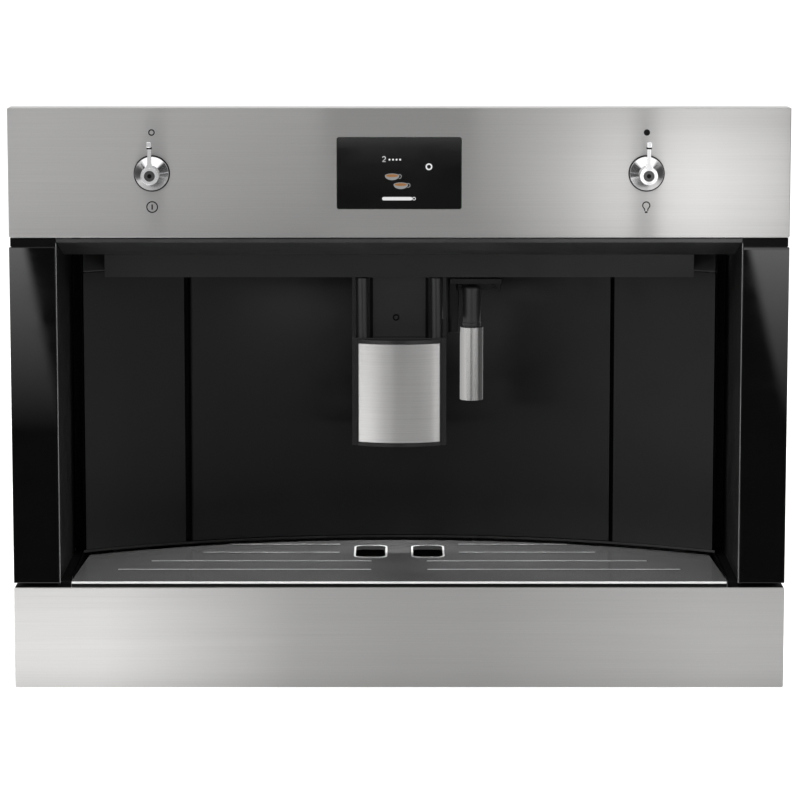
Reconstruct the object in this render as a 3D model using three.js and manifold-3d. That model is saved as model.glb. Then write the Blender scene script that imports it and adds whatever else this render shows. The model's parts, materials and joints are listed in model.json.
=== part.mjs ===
// Built-in coffee machine, hung on telescopic rails between the sides of a kitchen niche.
// Millimetres. +X is the viewer's right, +Y goes into the niche, +Z is up. The origin lies on the niche
// floor line, in the middle of the width, on the rear face of the front frame.
import * as THREE from "three";
import { mergeVertices } from "three/addons/utils/BufferGeometryUtils.js";
import Module from "manifold-3d";

const wasm = await Module();
wasm.setup();

// ---- Driving dimensions ----

// Fits and walls
const FIT = 0.3; // between pieces that touch
const RUN = 0.4; // radial play of a shaft or pin in its hole
const SHEET = 1.5; // steel sheet
const PLASTIC = 3; // moulded wall
const LAP = 1; // how far joined and cutting shapes run into or past each other

// Niche and front
const NICHE_WIDTH = 560;
const NICHE_OVERLAP = 17.5; // the front covers the cabinet's edge by this, at each side
const FLOOR_OVERLAP = 5; // and the niche floor's edge by this
const FRONT_HEIGHT = 449;
const FRONT_DEPTH = 22; // how far the front stands out of the cabinet
const FRAME_PLATE = 3;
const FRAME_MARGIN = 3; // the frame plate is smaller than the front by this, all round
const FRAME_SILL = 4; // its opening starts this far under the drip basin
const FRAME_SEAT = 1; // the chassis stands this deep in a pocket of its rear face
const FASCIA_HEIGHT = 98.9;
const DRAWER_FRONT_HEIGHT = 78.8;
const GLASS_THICKNESS = 4;
const GLASS_GAP_BELOW = 3.6; // dark joint between drawer front and side glass
const GLASS_GAP_ABOVE = 7.4; // dark joint between side glass and fascia
const CARRIER_MARGIN = 1; // the side glass stands out past its carrier by this

// Recess
const BACK_RADIUS = 490; // the curved back wall, a vertical cylinder
const BACK_DEPTH = 162; // its deepest point behind the cabinet front
const BACK_SIDE_GAP = 2.5; // between its ends and the side panels
const SIDE_PANEL_WIDTH = 79.3; // the outer curved panels, out to the wall's ends
const PANEL_SEAM = 3.2; // the joints between the three curved panels
const PANEL_GAP = 1.3; // the joint above them
const WALL_STEP = 7.3; // the recess is wider than the chassis by this, at each side
const WALL_REAR = 128; // rear end of the side walls
const CEILING_GAP = 4.1; // the ceiling strip's front edge lies this far under the fascia
const CEILING_DROP = 15.5; // how far the strip slopes down
const CEILING_SLOPE_END = 45;
const CEILING_FOOT = 2.5; // the strip's rear end hangs this far under the ceiling
const CEILING_FOOT_LENGTH = 2;
const CEILING_THICKNESS = 2.8;
const HEAD_HEIGHT = 20.6;
const HEAD_SIDE_GAP = 20.5; // between the head's sides and the ends of the curved wall
const HEAD_FRONT = 50;
const HEAD_REAR = 8; // behind the face of the curved wall
const LAMP_HALF_LENGTH = 110;
const LAMP_Y = 116;
const LAMP_HALF_WIDTH = 4;
const LAMP_FLANGE = 2;

// Controls
const CONTROL_RISE = 49.1; // from the fascia's lower edge to the knob axes and the display's centre
const KNOB_X = 188;
const KNOB_RADIUS = 13.8;
const KNOB_SKIRT = 1; // straight part of the knob in front of the fascia
const KNOB_LENGTH = 29; // from the fascia to the hub face
const KNOB_HUB_RADIUS = 6.8;
const KNOB_EDGE = 1; // chamfer round the hub face
const KNOB_TRAVEL = 2; // push to confirm
const STEM_RADIUS = 3;
const STEM_INSET = 6; // the stem ends this far behind the hub face
const LEVER_LENGTH = 26; // above the knob axis
const LEVER_WIDTH = 3.6;
const LEVER_THICKNESS = 2.4;
const LEVER_CORNER = 0.9;
const LEVER_INSET = 0.4; // the lever's face lies this far behind the hub face
const LEVER_BEND = 5; // the tip stands towards the user
const ENCODER_SIZE = 14;
const ENCODER_DEPTH = 9;
const BOARD_THICKNESS = 1.6;
const BOARD_MARGIN = 17; // the control board reaches this far past the knob axes
const BOARD_HALF_HEIGHT = 20;
const DISPLAY_WIDTH = 94.4;
const DISPLAY_HEIGHT = 54.2;
const DISPLAY_CORNER = 2;
const DISPLAY_GLASS = 1.5;
const MODULE_MARGIN = 4; // the display module is larger than its glass by this, all round

// Drawer
const TRAY_RISE = 4.5; // the tray lies this far above the drawer front's edge
const TRAY_LIP = 1; // its front edge lies this far behind the front's face
const TRAY_FRONT_GAP = 8.8; // between the tray's front corners and the recess walls
const TRAY_REAR_GAP = 5; // between its rear corners and the side panels
const TRAY_ARC_GAP = 2; // between its rear edge and the curved wall
const GRILLE_THICKNESS = 3;
const SLOT_WIDTH = 3;
const SLOT_ROWS = [
  { depth: 28, inner: 22, margin: 27.5 },
  { depth: 64, inner: 22, margin: 51.5 },
  { depth: 102, inner: 48, margin: 90.5 },
  { depth: 138, inner: 48, margin: 111.5 },
];
const DRAIN_X = 23;
const DRAIN_WIDTH = 24;
const DRAIN_FRONT = 82;
const DRAIN_LENGTH = 51;
const DRAIN_CORNER = 6;
const BASIN_BOTTOM = 10;
const BASIN_WALL = 2.5;
const BASIN_INSET = 3; // the basin is narrower than the tray's rear edge by this, at each side
const BASIN_ARC_GAP = 6;
const GROUNDS_WIDTH = 120;
const GROUNDS_GAP = 14; // between the curved wall and the grounds container
const GROUNDS_LENGTH = 108;
const GROUNDS_WALL = 2;
const TONGUE_MARGIN = 3; // the basin's tongue is larger than the grounds container by this
const TONGUE_LIP = 5;
const FLOAT_X = 95;
const FLOAT_Y = 60;
const FLOAT_RADIUS = 12;
const FLOAT_HEIGHT = 12;
const POST_RADIUS = 3;
const POST_GAP = 2; // between the float's post and the grille
const RUNNER_INSET = 45.5; // from the basin's side to the runner under it
const RUNNER_WIDTH = 8;

// Chassis
const CHASSIS_DEPTH = 400;
const CHASSIS_BOTTOM = 3;
const CHASSIS_DROP = 31; // the chassis ends this far under the front's upper edge
const SHELF_GAP = 1.9; // room for the drawer under the shelf
const SHELF_THICKNESS = 2;
const DECK_THICKNESS = 2;
const VENT_ROWS = 6;
const VENT_PITCH = 14;
const VENT_HEIGHT = 3;
const VENT_LEFT = 10;
const VENT_RIGHT = 170;
const VENT_BOTTOM = 250;

// Rails
const RAIL_ROOM = 25; // between the chassis and the niche's side
const RAIL_NEST = 1; // the inner and outer rails' lips pass each other by this
const RAIL_FRONT = 6;
const RAIL_LENGTH = 390;
const RAIL_HEIGHT = 50;
const RAIL_BOTTOM = 20;
const RAIL_PLAY = 0.6;

// Service door, spout and nozzle
const KNUCKLE_RADIUS = 3.2;
const PIN_RADIUS = 1.8;
const PIN_REACH = 7; // the door's upper pin goes this far into the head
const GUIDE_HALF_WIDTH = 9;
const GUIDE_HEAD_HALF_WIDTH = 14;
const GUIDE_HEAD_THICKNESS = 5;
const GUIDE_PLAY = 0.6;
const GUIDE_DEPTH = 34; // from the spout's front edges to the guide
const SPOUT_WIDTH = 74;
const SPOUT_FRONT = 50; // edges of the steel plate; the plate bulges in front of this
const SPOUT_DEPTH = 58;
const SPOUT_BOTTOM = 174;
const SPOUT_SIDE_WALL = 3;
const SPOUT_PLATE_WIDTH = 64.5;
const SPOUT_PLATE_HEIGHT = 78;
const SPOUT_PLATE_BULGE = 9.5;
const SPOUT_PLATE_THICKNESS = 1.2;
const SPOUT_PLATE_MARGIN = 3; // black rim above and below the plate
const PILLAR_RADIUS = 5.5;
const PILLAR_X = 29;
const PILLAR_DEPTH = 8; // from the spout's front edges to the pillars' axes
const PILLAR_REVEAL = 4; // the panel between the pillars lies this far behind their axes
const OUTLET_X = 22.3;
const OUTLET_DEPTH = 18; // from the spout's front edges to the outlets
const OUTLET_RADIUS = 3;
const OUTLET_LENGTH = 40;
const OUTLET_WALL = 7;
const BRACKET_GAP = 2.5; // between the spout and the nozzle's bracket
const BRACKET_THICKNESS = 5.2;
const BRACKET_SIDE_HEIGHT = 44.8;
const BRACKET_CHEEK = 12;
const NOZZLE_OFFSET = 17.5; // from the bracket's left side to the nozzle
const NOZZLE_RIGHT_ROOM = 20; // and on to its right side
const NOZZLE_Y = 68;
const NOZZLE_EYE_RADIUS = 7;
const NOZZLE_EYE_GAP = 1;
const NOZZLE_BOSS_RADIUS = 3.6;
const NOZZLE_BORE_RADIUS = 2;
const NOZZLE_BORE_LENGTH = 50;
const GRIP_RADIUS = 6.8;
const GRIP_LENGTH = 80; // from the pivot down
const SLEEVE_PLAY = 0.5;
const SLEEVE_WALL = 1.8;
const SLEEVE_LENGTH = 58;
const SLEEVE_DROP = 4; // the sleeve ends this far under the grip
const SLEEVE_BORE_RADIUS = 3;

// Water tank
const TANK_REAR_GAP = 68.5; // between the tank and the rear panel
const TANK_TOP_GAP = 7.3; // between its rim and the top of the curved panel before it
const TANK_WALL = 2.5;
const TANK_SIDE_PLAY = 3;
const TANK_LID_THICKNESS = 2.5;
const MOUTH_HALF_WIDTH = 23; // the lid's filling mouth
const MOUTH_LENGTH = 45;
const SPIGOT_RADIUS = 5;
const SPIGOT_WALL = 1.5;
const SPIGOT_LENGTH = 10;
const SPIGOT_HEIGHT = 14; // above the tank floor
const DOCK_HALF_WIDTH = 14;
const DOCK_HEIGHT = 30;
const DOCK_REAR_WALL = 6;

// Brewing works
const BREW_X = -5;
const BREW_GAP = 15; // between the curved wall and the brew unit
const BREW_WIDTH = 100;
const BREW_LENGTH = 108;
const BREW_HEIGHT = 190;
const BREW_WALL = 12; // round the way down for the used puck
const CHAMBER_RADIUS = 27;
const CHAMBER_DEPTH = 85;
const PISTON_HEIGHT = 14;
const PISTON_ROD_RADIUS = 6;
const PISTON_ROD_LENGTH = 50; // below the chamber floor
const PISTON_REST = 8; // above the chamber floor
const GEARBOX_WIDTH = 24;
const GEARBOX_LENGTH = 40;
const GEARBOX_HEIGHT = 60;
const GEARBOX_RISE = 15;
const CHUTE_LEFT = 20; // from the brew unit's middle to the powder chute's
const CHUTE_AHEAD = 9;
const CHUTE_HALF = 20;

// Grinder
const HOPPER_LEFT = 32;
const HOPPER_WIDTH = 120;
const HOPPER_AHEAD = 19; // the hopper starts this far ahead of the brew unit's middle
const HOPPER_REAR_GAP = 13.5; // between the hopper and the rear panel
const HOPPER_FUNNEL = 40; // height of the sloping part
const HOPPER_OUTLET = 18; // half the side of its square outlet
const HOPPER_WALL = 2.5; // also the powder chute's
const GRINDER_OFFSET = 68; // from the hopper's left side to the grinder's axis
const GRINDER_RADIUS = 40;
const GRINDER_HEIGHT = 45;
const GRINDER_FLOOR = 12;
const BURR_GAP = 2; // round and under the burr
const BURR_RADIUS = 20;
const BURR_TIP_RADIUS = 9;
const BURR_HEIGHT = 24;
const BURR_SHAFT_RADIUS = 4;
const BURR_SHAFT_REACH = 20; // into the motor
const MOTOR_RADIUS = 32;
const MOTOR_LENGTH = 90;
const MOTOR_STAND = 12; // half the side of the square stand
const DIAL_X = 178;
const DIAL_RADIUS = 15;
const DIAL_HEIGHT = 9;
const DIAL_RISE = 4; // above the top cover
const DIAL_GRIP = 3;
const DIAL_SHAFT_RADIUS = 4;
const LID_THICKNESS = 3;
const LID_OVERLAP = 3;
const LID_PIN_RADIUS = 1;
const LID_EAR = 3; // thickness of a hinge ear and its reach round the axis

// Boiler and pump
const BOILER_SIDE_GAP = 18.2; // between the boiler and the side panel
const BOILER_LIFT = 5.5;
const BOILER_RADIUS = 40;
const BOILER_FRONT = 190;
const BOILER_LENGTH = 140;
const BOILER_END = 14; // length of its domed ends
const BOILER_END_EDGE = 2;
const BOILER_SADDLE_HALF_WIDTH = 30;
const BOILER_SADDLE_INSET = 20;
const PUMP_X = -195;
const PUMP_FRONT = 215;
const PUMP_LENGTH = 110;
const PUMP_RADIUS = 24;
const PUMP_LIFT = 5;
const PUMP_SADDLE_INSET = 10;
const PUMP_SADDLE_LENGTH = 20;
const PIPE_RADIUS = 2.5;
const PIPE_STUB = 8; // straight end of the pipe
const PIPE_INSET = 20; // under the brew unit's top
const PIPE_AHEAD = 10; // ahead of the brew unit's middle

// Mains side
const BOARD_LEFT = -165;
const BOARD_BOTTOM = 110;
const BOARD_WIDTH = 90;
const BOARD_HEIGHT = 130;
const BOARD_STAND = 6; // behind the power board
const BOARD_POST_RADIUS = 3;
const BOARD_POST_INSET = 8;
// Transformer, capacitor and relay row, each from the board's lower left corner.
const BOARD_BLOCKS = [
  { x: 12, z: 14, width: 40, height: 40, depth: 34 },
  { x: 60, z: 20, width: 16, height: 40, depth: 22 },
  { x: 15, z: 90, width: 55, height: 20, depth: 16 },
];
const INLET_INSET = 50; // from the chassis' left side to the inlet's and the switch's middle
const INLET_HEIGHT = 60;
const INLET_HALF_WIDTH = 14;
const INLET_HALF_HEIGHT = 11;
const INLET_DEPTH = 22;
const INLET_WALL = 2;
const INLET_FLANGE = 4;
const INLET_PIN_LENGTH = 17;
const INLET_PIN_HALF_WIDTH = 1;
const INLET_PIN_HALF_HEIGHT = 2;
const INLET_PIN_PITCH = 7; // between the flat contact pins
const INLET_PIN_RISE = 2; // the outer pins stand this far above the middle
const INLET_EARTH_RISE = 6; // and the middle one this far
const SWITCH_HEIGHT = 105;
const SWITCH_HALF_WIDTH = 6.5;
const SWITCH_HALF_HEIGHT = 10;
const SWITCH_SWEEP = 4; // room above and below the rocker
const SWITCH_PIN_RADIUS = 1.5;
const SWITCH_DEPTH = 8; // its axis lies this far inside the rear face
const SWITCH_BULGE = 1; // the rocker's middle stands out by this

// ---- Derived places ----

const NICHE_HALF = NICHE_WIDTH / 2;
const FRONT_HALF = NICHE_HALF + NICHE_OVERLAP;
const FRONT_BOTTOM = -FLOOR_OVERLAP;
const FRONT_TOP = FRONT_BOTTOM + FRONT_HEIGHT;
const FACE = -FRONT_DEPTH;
const FRAME_FACE = -FRAME_PLATE;
const CHASSIS_FRONT = FIT - FRAME_SEAT;
const PAN_REAR = FRAME_FACE - FIT;
const FASCIA_BOTTOM = FRONT_TOP - FASCIA_HEIGHT;
const DRAWER_FRONT_TOP = FRONT_BOTTOM + DRAWER_FRONT_HEIGHT;
const GLASS_BOTTOM = DRAWER_FRONT_TOP + GLASS_GAP_BELOW;
const GLASS_TOP = FASCIA_BOTTOM - GLASS_GAP_ABOVE;
const GLASS_REAR = FACE + GLASS_THICKNESS + FIT;
const CONTROL_HEIGHT = FASCIA_BOTTOM + CONTROL_RISE;

const CHASSIS_HALF = NICHE_HALF - RAIL_ROOM;
const INSIDE_HALF = CHASSIS_HALF - SHEET - FIT;
const CHASSIS_TOP = FRONT_TOP - CHASSIS_DROP;
const BACK_PLATE = CHASSIS_DEPTH - SHEET;
const ROOF_BOTTOM = CHASSIS_TOP - SHEET;
const RECESS_HALF = CHASSIS_HALF + WALL_STEP;
const BACK_HALF_WIDTH = CHASSIS_HALF - SHEET - BACK_SIDE_GAP;
const ARC_CENTRE = BACK_DEPTH - BACK_RADIUS;
const SEAM_X = BACK_HALF_WIDTH - SIDE_PANEL_WIDTH;
const WALL_TOP = FASCIA_BOTTOM - FIT;
const SLOPE_TOP = FASCIA_BOTTOM - CEILING_GAP;
const SLOPE_FOOT = SLOPE_TOP - CEILING_DROP;
const CEILING_HEIGHT = SLOPE_FOOT + CEILING_FOOT;
const HEAD_TOP = CEILING_HEIGHT - FIT;
const HEAD_BOTTOM = HEAD_TOP - HEAD_HEIGHT;
const HEAD_HALF_WIDTH = BACK_HALF_WIDTH - HEAD_SIDE_GAP;
const PANEL_TOP = HEAD_BOTTOM - PANEL_GAP;
const DECK_BOTTOM = CEILING_HEIGHT + CEILING_THICKNESS + FIT;
const DECK_TOP = DECK_BOTTOM + DECK_THICKNESS;

const TRAY_TOP = DRAWER_FRONT_TOP + TRAY_RISE;
const TRAY_FRONT_HALF = RECESS_HALF - TRAY_FRONT_GAP;
const TRAY_REAR_HALF = CHASSIS_HALF - SHEET - TRAY_REAR_GAP;
const SHELF_BOTTOM = TRAY_TOP + SHELF_GAP;
const SHELF_TOP = SHELF_BOTTOM + SHELF_THICKNESS;
const ON_SHELF = SHELF_TOP + FIT;
const BASIN_HALF = TRAY_REAR_HALF - BASIN_INSET;
const BASIN_TOP = TRAY_TOP - GRILLE_THICKNESS - FIT;
const BASIN_FLOOR = BASIN_BOTTOM + BASIN_WALL;
const GROUNDS_FRONT = BACK_DEPTH + GROUNDS_GAP;
const GROUNDS_REAR = GROUNDS_FRONT + GROUNDS_LENGTH;
const BASE_TOP = CHASSIS_BOTTOM + SHEET;
const RAIL_LIP = (RAIL_ROOM + RAIL_NEST) / 2;

const HUB_FACE = FACE - KNOB_LENGTH;
const STEM_FRONT = HUB_FACE + STEM_INSET;
const BOARD_FACE = PAN_REAR - BOARD_THICKNESS;
const SPOUT_HALF = SPOUT_WIDTH / 2;
const SPOUT_REAR = SPOUT_FRONT + SPOUT_DEPTH;
const PLATE_BOTTOM = SPOUT_BOTTOM + SPOUT_PLATE_MARGIN;
const PLATE_TOP = PLATE_BOTTOM + SPOUT_PLATE_HEIGHT;
const SPOUT_SHOULDER = PLATE_TOP + SPOUT_PLATE_MARGIN;
const GUIDE_FRONT = SPOUT_FRONT + GUIDE_DEPTH;
const PILLAR_Y = SPOUT_FRONT + PILLAR_DEPTH;
const OUTLET_Y = SPOUT_FRONT + OUTLET_DEPTH;
const BRACKET_LEFT = SPOUT_HALF + BRACKET_GAP;
const NOZZLE_X = BRACKET_LEFT + NOZZLE_OFFSET;
const BRACKET_RIGHT = NOZZLE_X + NOZZLE_RIGHT_ROOM;
const BRACKET_TOP = PANEL_TOP - 2 * FIT;
const BRACKET_ROOF = BRACKET_TOP - BRACKET_THICKNESS;
const NOZZLE_PIVOT = BRACKET_ROOF - NOZZLE_EYE_GAP - NOZZLE_EYE_RADIUS;
const GRIP_BOTTOM = NOZZLE_PIVOT - GRIP_LENGTH;
const SLEEVE_RADIUS = GRIP_RADIUS + SLEEVE_PLAY + SLEEVE_WALL;
const SLEEVE_BOTTOM = GRIP_BOTTOM - SLEEVE_DROP;
const SLEEVE_TOP = SLEEVE_BOTTOM + SLEEVE_LENGTH;

const TANK_REAR = BACK_PLATE - TANK_REAR_GAP;
const TANK_TOP = PANEL_TOP - TANK_TOP_GAP;
const SPIGOT_Z = ON_SHELF + SPIGOT_HEIGHT;
const BREW_Y = BACK_DEPTH + PLASTIC + BREW_GAP + BREW_LENGTH / 2;
const BREW_TOP = ON_SHELF + BREW_HEIGHT;
const BREW_LEFT = BREW_X - BREW_WIDTH / 2;
const BREW_RIGHT = BREW_X + BREW_WIDTH / 2;
const CHUTE_X = BREW_X - CHUTE_LEFT;
const CHUTE_Y = BREW_Y - CHUTE_AHEAD;
const HOPPER_RIGHT = HOPPER_LEFT + HOPPER_WIDTH;
const HOPPER_REAR = BACK_PLATE - HOPPER_REAR_GAP;
const HOPPER_FRONT = BREW_Y - HOPPER_AHEAD;
const GRINDER_X = HOPPER_LEFT + GRINDER_OFFSET;
const GRINDER_Y = (HOPPER_FRONT + HOPPER_REAR) / 2;
const GRINDER_TOP = DECK_BOTTOM - FIT;
const GRINDER_BOTTOM = GRINDER_TOP - GRINDER_HEIGHT;
const DIAL_Y = GRINDER_Y;
const BOILER_X = BOILER_SIDE_GAP + BOILER_RADIUS - INSIDE_HALF;
const BOILER_Z = ON_SHELF + BOILER_LIFT + BOILER_RADIUS;
const PUMP_Z = BASE_TOP + PUMP_LIFT + PUMP_RADIUS;
const INLET_X = INLET_INSET - CHASSIS_HALF;
const SWITCH_X = INLET_X;
const SWITCH_AXIS = CHASSIS_DEPTH - SWITCH_DEPTH;

const LID_AXIS = CHASSIS_TOP + FIT + LID_THICKNESS / 2;
const BEAN_LID = {
  left: HOPPER_LEFT - LID_OVERLAP,
  right: HOPPER_RIGHT + LID_OVERLAP,
  front: HOPPER_FRONT - LID_OVERLAP,
  hingeY: HOPPER_REAR + LID_OVERLAP,
};
const POWDER_LID = {
  left: CHUTE_X - CHUTE_HALF - LID_OVERLAP,
  right: CHUTE_X + CHUTE_HALF + LID_OVERLAP,
  front: CHUTE_Y - CHUTE_HALF - LID_OVERLAP,
  hingeY: CHUTE_Y + CHUTE_HALF + LID_OVERLAP,
};

// y of the recess's back wall at x, moved outwards by offset.
function backAt(x, offset = 0) {
  return ARC_CENTRE + Math.sqrt((BACK_RADIUS + offset) ** 2 - x ** 2);
}

// ---- Solids and booleans ----

function toSolid(geometry) {
  const bare = geometry.clone();
  bare.deleteAttribute("normal");
  bare.deleteAttribute("uv");
  const merged = mergeVertices(bare, 1e-4);
  return new wasm.Manifold(
    new wasm.Mesh({
      numProp: 3,
      vertProperties: merged.attributes.position.array,
      triVerts: merged.index.array,
    }),
  );
}

function toGeometry(solid) {
  const mesh = solid.getMesh();
  const geometry = new THREE.BufferGeometry();
  geometry.setAttribute("position", new THREE.BufferAttribute(mesh.vertProperties, 3));
  geometry.setIndex(new THREE.BufferAttribute(mesh.triVerts, 1));
  geometry.computeVertexNormals();
  return geometry;
}

function join(first, ...others) {
  let solid = toSolid(first);
  for (const other of others) {
    solid = solid.add(toSolid(other));
  }
  return toGeometry(solid);
}

function cut(base, ...tools) {
  let solid = toSolid(base);
  for (const tool of tools) {
    solid = solid.subtract(toSolid(tool));
  }
  return toGeometry(solid);
}

// ---- Primitive shapes, each made where it belongs ----

function box(xLow, xHigh, yLow, yHigh, zLow, zHigh) {
  const geometry = new THREE.BoxGeometry(xHigh - xLow, yHigh - yLow, zHigh - zLow);
  return geometry.translate((xLow + xHigh) / 2, (yLow + yHigh) / 2, (zLow + zHigh) / 2);
}

// A square column centred on x, y.
function column(x, y, half, low, high) {
  return box(x - half, x + half, y - half, y + half, low, high);
}

function outline(points) {
  return new THREE.Shape(points.map(([u, v]) => new THREE.Vector2(u, v)));
}

function roundedOutline(width, height, radius) {
  const w = width / 2;
  const h = height / 2;
  const shape = new THREE.Shape();
  shape.moveTo(-w + radius, -h);
  shape.lineTo(w - radius, -h);
  shape.absarc(w - radius, -h + radius, radius, -Math.PI / 2, 0);
  shape.lineTo(w, h - radius);
  shape.absarc(w - radius, h - radius, radius, 0, Math.PI / 2);
  shape.lineTo(-w + radius, h);
  shape.absarc(-w + radius, h - radius, radius, Math.PI / 2, Math.PI);
  shape.lineTo(-w, -h + radius);
  shape.absarc(-w + radius, -h + radius, radius, Math.PI, 1.5 * Math.PI);
  return shape;
}

function extrude(shape, depth, steps) {
  return new THREE.ExtrudeGeometry(shape, { depth, bevelEnabled: false, curveSegments: steps });
}

// A plan outline (x, y) carried up from low to high.
function alongZ(shape, low, high, steps = 6) {
  return extrude(shape, high - low, steps).translate(0, 0, low);
}

// A front outline (x, z) carried back from low to high.
function alongY(shape, low, high, steps = 6) {
  return extrude(shape, high - low, steps).rotateX(Math.PI / 2).translate(0, high, 0);
}

// A side outline (y, z) carried to the right from low to high.
function alongX(shape, low, high, steps = 6) {
  const turn = new THREE.Matrix4().makeBasis(
    new THREE.Vector3(0, 1, 0),
    new THREE.Vector3(0, 0, 1),
    new THREE.Vector3(1, 0, 0),
  );
  return extrude(shape, high - low, steps).applyMatrix4(turn).translate(low, 0, 0);
}

// Cylinders along each axis; a second radius makes a cone that starts with the first at low.
function rodZ(x, y, radius, low, high, sides = 20, radiusHigh = radius) {
  const geometry = new THREE.CylinderGeometry(radiusHigh, radius, high - low, sides);
  return geometry.rotateX(Math.PI / 2).translate(x, y, (low + high) / 2);
}

function rodY(x, z, radius, low, high, sides = 20, radiusHigh = radius) {
  const geometry = new THREE.CylinderGeometry(radiusHigh, radius, high - low, sides);
  return geometry.translate(x, (low + high) / 2, z);
}

function rodX(y, z, radius, low, high, sides = 20) {
  const geometry = new THREE.CylinderGeometry(radius, radius, high - low, sides);
  return geometry.rotateZ(-Math.PI / 2).translate((low + high) / 2, y, z);
}

// A profile of (radius, y) turned about an axis along Y through x, z. It starts and ends on the axis.
function turnedY(profile, x, z, sides = 32) {
  const points = profile.map(([r, y]) => new THREE.Vector2(r, y));
  return new THREE.LatheGeometry(points, sides).translate(x, 0, z);
}

// A square funnel stage: a rectangle at low joined to another at high.
function hopperStage(bottom, low, top, high) {
  const ring = ([x0, x1, y0, y1], z) => [x0, y0, z, x1, y0, z, x1, y1, z, x0, y1, z];
  const geometry = new THREE.BufferGeometry();
  const positions = new Float32Array([...ring(bottom, low), ...ring(top, high)]);
  geometry.setAttribute("position", new THREE.BufferAttribute(positions, 3));
  const faces = [0, 2, 1, 0, 3, 2, 4, 5, 6, 4, 6, 7];
  for (let side = 0; side < 4; side += 1) {
    const next = (side + 1) % 4;
    faces.push(side, next, next + 4, side, next + 4, side + 4);
  }
  geometry.setIndex(faces);
  return geometry;
}

// Mirrors a geometry of the right-hand side to the left.
function mirrored(geometry) {
  const copy = geometry.clone().scale(-1, 1, 1);
  const index = copy.index ? copy.index.array : null;
  if (!index) {
    return mirrored(toGeometry(toSolid(geometry)));
  }
  for (let i = 0; i < index.length; i += 3) {
    [index[i + 1], index[i + 2]] = [index[i + 2], index[i + 1]];
  }
  return copy;
}

// Plan of a band along the recess's back arc, between two offsets from its face and two places in x.
function arcBand(innerOffset, outerOffset, xLow, xHigh) {
  const inner = BACK_RADIUS + innerOffset;
  const outer = BACK_RADIUS + outerOffset;
  const shape = new THREE.Shape();
  const start = Math.acos(xHigh / inner);
  const end = Math.acos(xLow / inner);
  shape.absarc(0, ARC_CENTRE, outer, start, end);
  shape.absarc(0, ARC_CENTRE, inner, end, start, true);
  shape.closePath();
  return shape;
}

// Plan with a straight front edge, straight sides and the back arc, moved outwards by offset.
function arcPlan(front, halfFront, halfRear, offset) {
  const radius = BACK_RADIUS + offset;
  const turn = Math.acos(halfRear / radius);
  const shape = new THREE.Shape();
  shape.moveTo(-halfFront, front);
  shape.lineTo(halfFront, front);
  shape.lineTo(halfRear, ARC_CENTRE + radius * Math.sin(turn));
  shape.absarc(0, ARC_CENTRE, radius, turn, Math.PI - turn);
  shape.closePath();
  return shape;
}

// ---- The assembly ----

const machine = new THREE.Group();

const FINISHES = {
  steel: { color: 0xa8a7a4, roughness: 0.35, metalness: 1 },
  chrome: { color: 0xd9dadb, roughness: 0.08, metalness: 1 },
  blackGlass: { color: 0x08080a, roughness: 0.05, metalness: 0 },
  black: { color: 0x1c1c1d, roughness: 0.45, metalness: 0 },
  gloss: { color: 0x111112, roughness: 0.18, metalness: 0 },
  zinc: { color: 0x9fa3a6, roughness: 0.45, metalness: 0.9 },
  white: { color: 0xd8d8d4, roughness: 0.5, metalness: 0 },
  clear: { color: 0xb9c4c9, roughness: 0.15, metalness: 0 },
  board: { color: 0x1d4a33, roughness: 0.6, metalness: 0 },
  copper: { color: 0xb98a62, roughness: 0.3, metalness: 1 },
  red: { color: 0xa8211c, roughness: 0.5, metalness: 0 },
};

function add(name, geometry, finish) {
  const mesh = new THREE.Mesh(geometry, new THREE.MeshStandardMaterial(FINISHES[finish]));
  mesh.name = name;
  machine.add(mesh);
}

// A piece with the same shape on both sides, made once on the right.
function addPair(stem, geometry, finish) {
  add(`${stem}_right`, geometry, finish);
  add(`${stem}_left`, mirrored(geometry), finish);
}

// A shallow steel pan: a front plate with its edges turned back towards the frame.
function frontPan(low, high) {
  const shell = box(-FRONT_HALF, FRONT_HALF, FACE, PAN_REAR, low, high);
  const hollow = box(
    -FRONT_HALF + SHEET,
    FRONT_HALF - SHEET,
    FACE + SHEET,
    PAN_REAR + LAP,
    low + SHEET,
    high - SHEET,
  );
  return cut(shell, hollow);
}

// ---- Rails ----

// A channel rail of side outline C, its web at x = web and its lips pointing to x = lips.
function channel(web, lips, inset) {
  const low = RAIL_BOTTOM + inset;
  const high = RAIL_BOTTOM + RAIL_HEIGHT - inset;
  const back = web + Math.sign(lips - web) * SHEET;
  const shape = outline(
    web < lips
      ? [
          [web, low],
          [lips, low],
          [lips, low + SHEET],
          [back, low + SHEET],
          [back, high - SHEET],
          [lips, high - SHEET],
          [lips, high],
          [web, high],
        ]
      : [
          [web, low],
          [web, high],
          [lips, high],
          [lips, high - SHEET],
          [back, high - SHEET],
          [back, low + SHEET],
          [lips, low + SHEET],
          [lips, low],
        ],
  );
  return alongY(shape, RAIL_FRONT, RAIL_FRONT + RAIL_LENGTH);
}

function addRails() {
  const step = SHEET + RAIL_PLAY;
  const innerWeb = CHASSIS_HALF + FIT;
  const middleWeb = NICHE_HALF - SHEET - RAIL_PLAY;
  addPair("rail_outer", channel(NICHE_HALF, NICHE_HALF - RAIL_LIP, 0), "zinc");
  addPair("rail_middle", channel(middleWeb, middleWeb - RAIL_LIP, step), "zinc");
  addPair("rail_inner", channel(innerWeb, innerWeb + RAIL_LIP, 2 * step), "zinc");
}

// ---- Chassis ----

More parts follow.
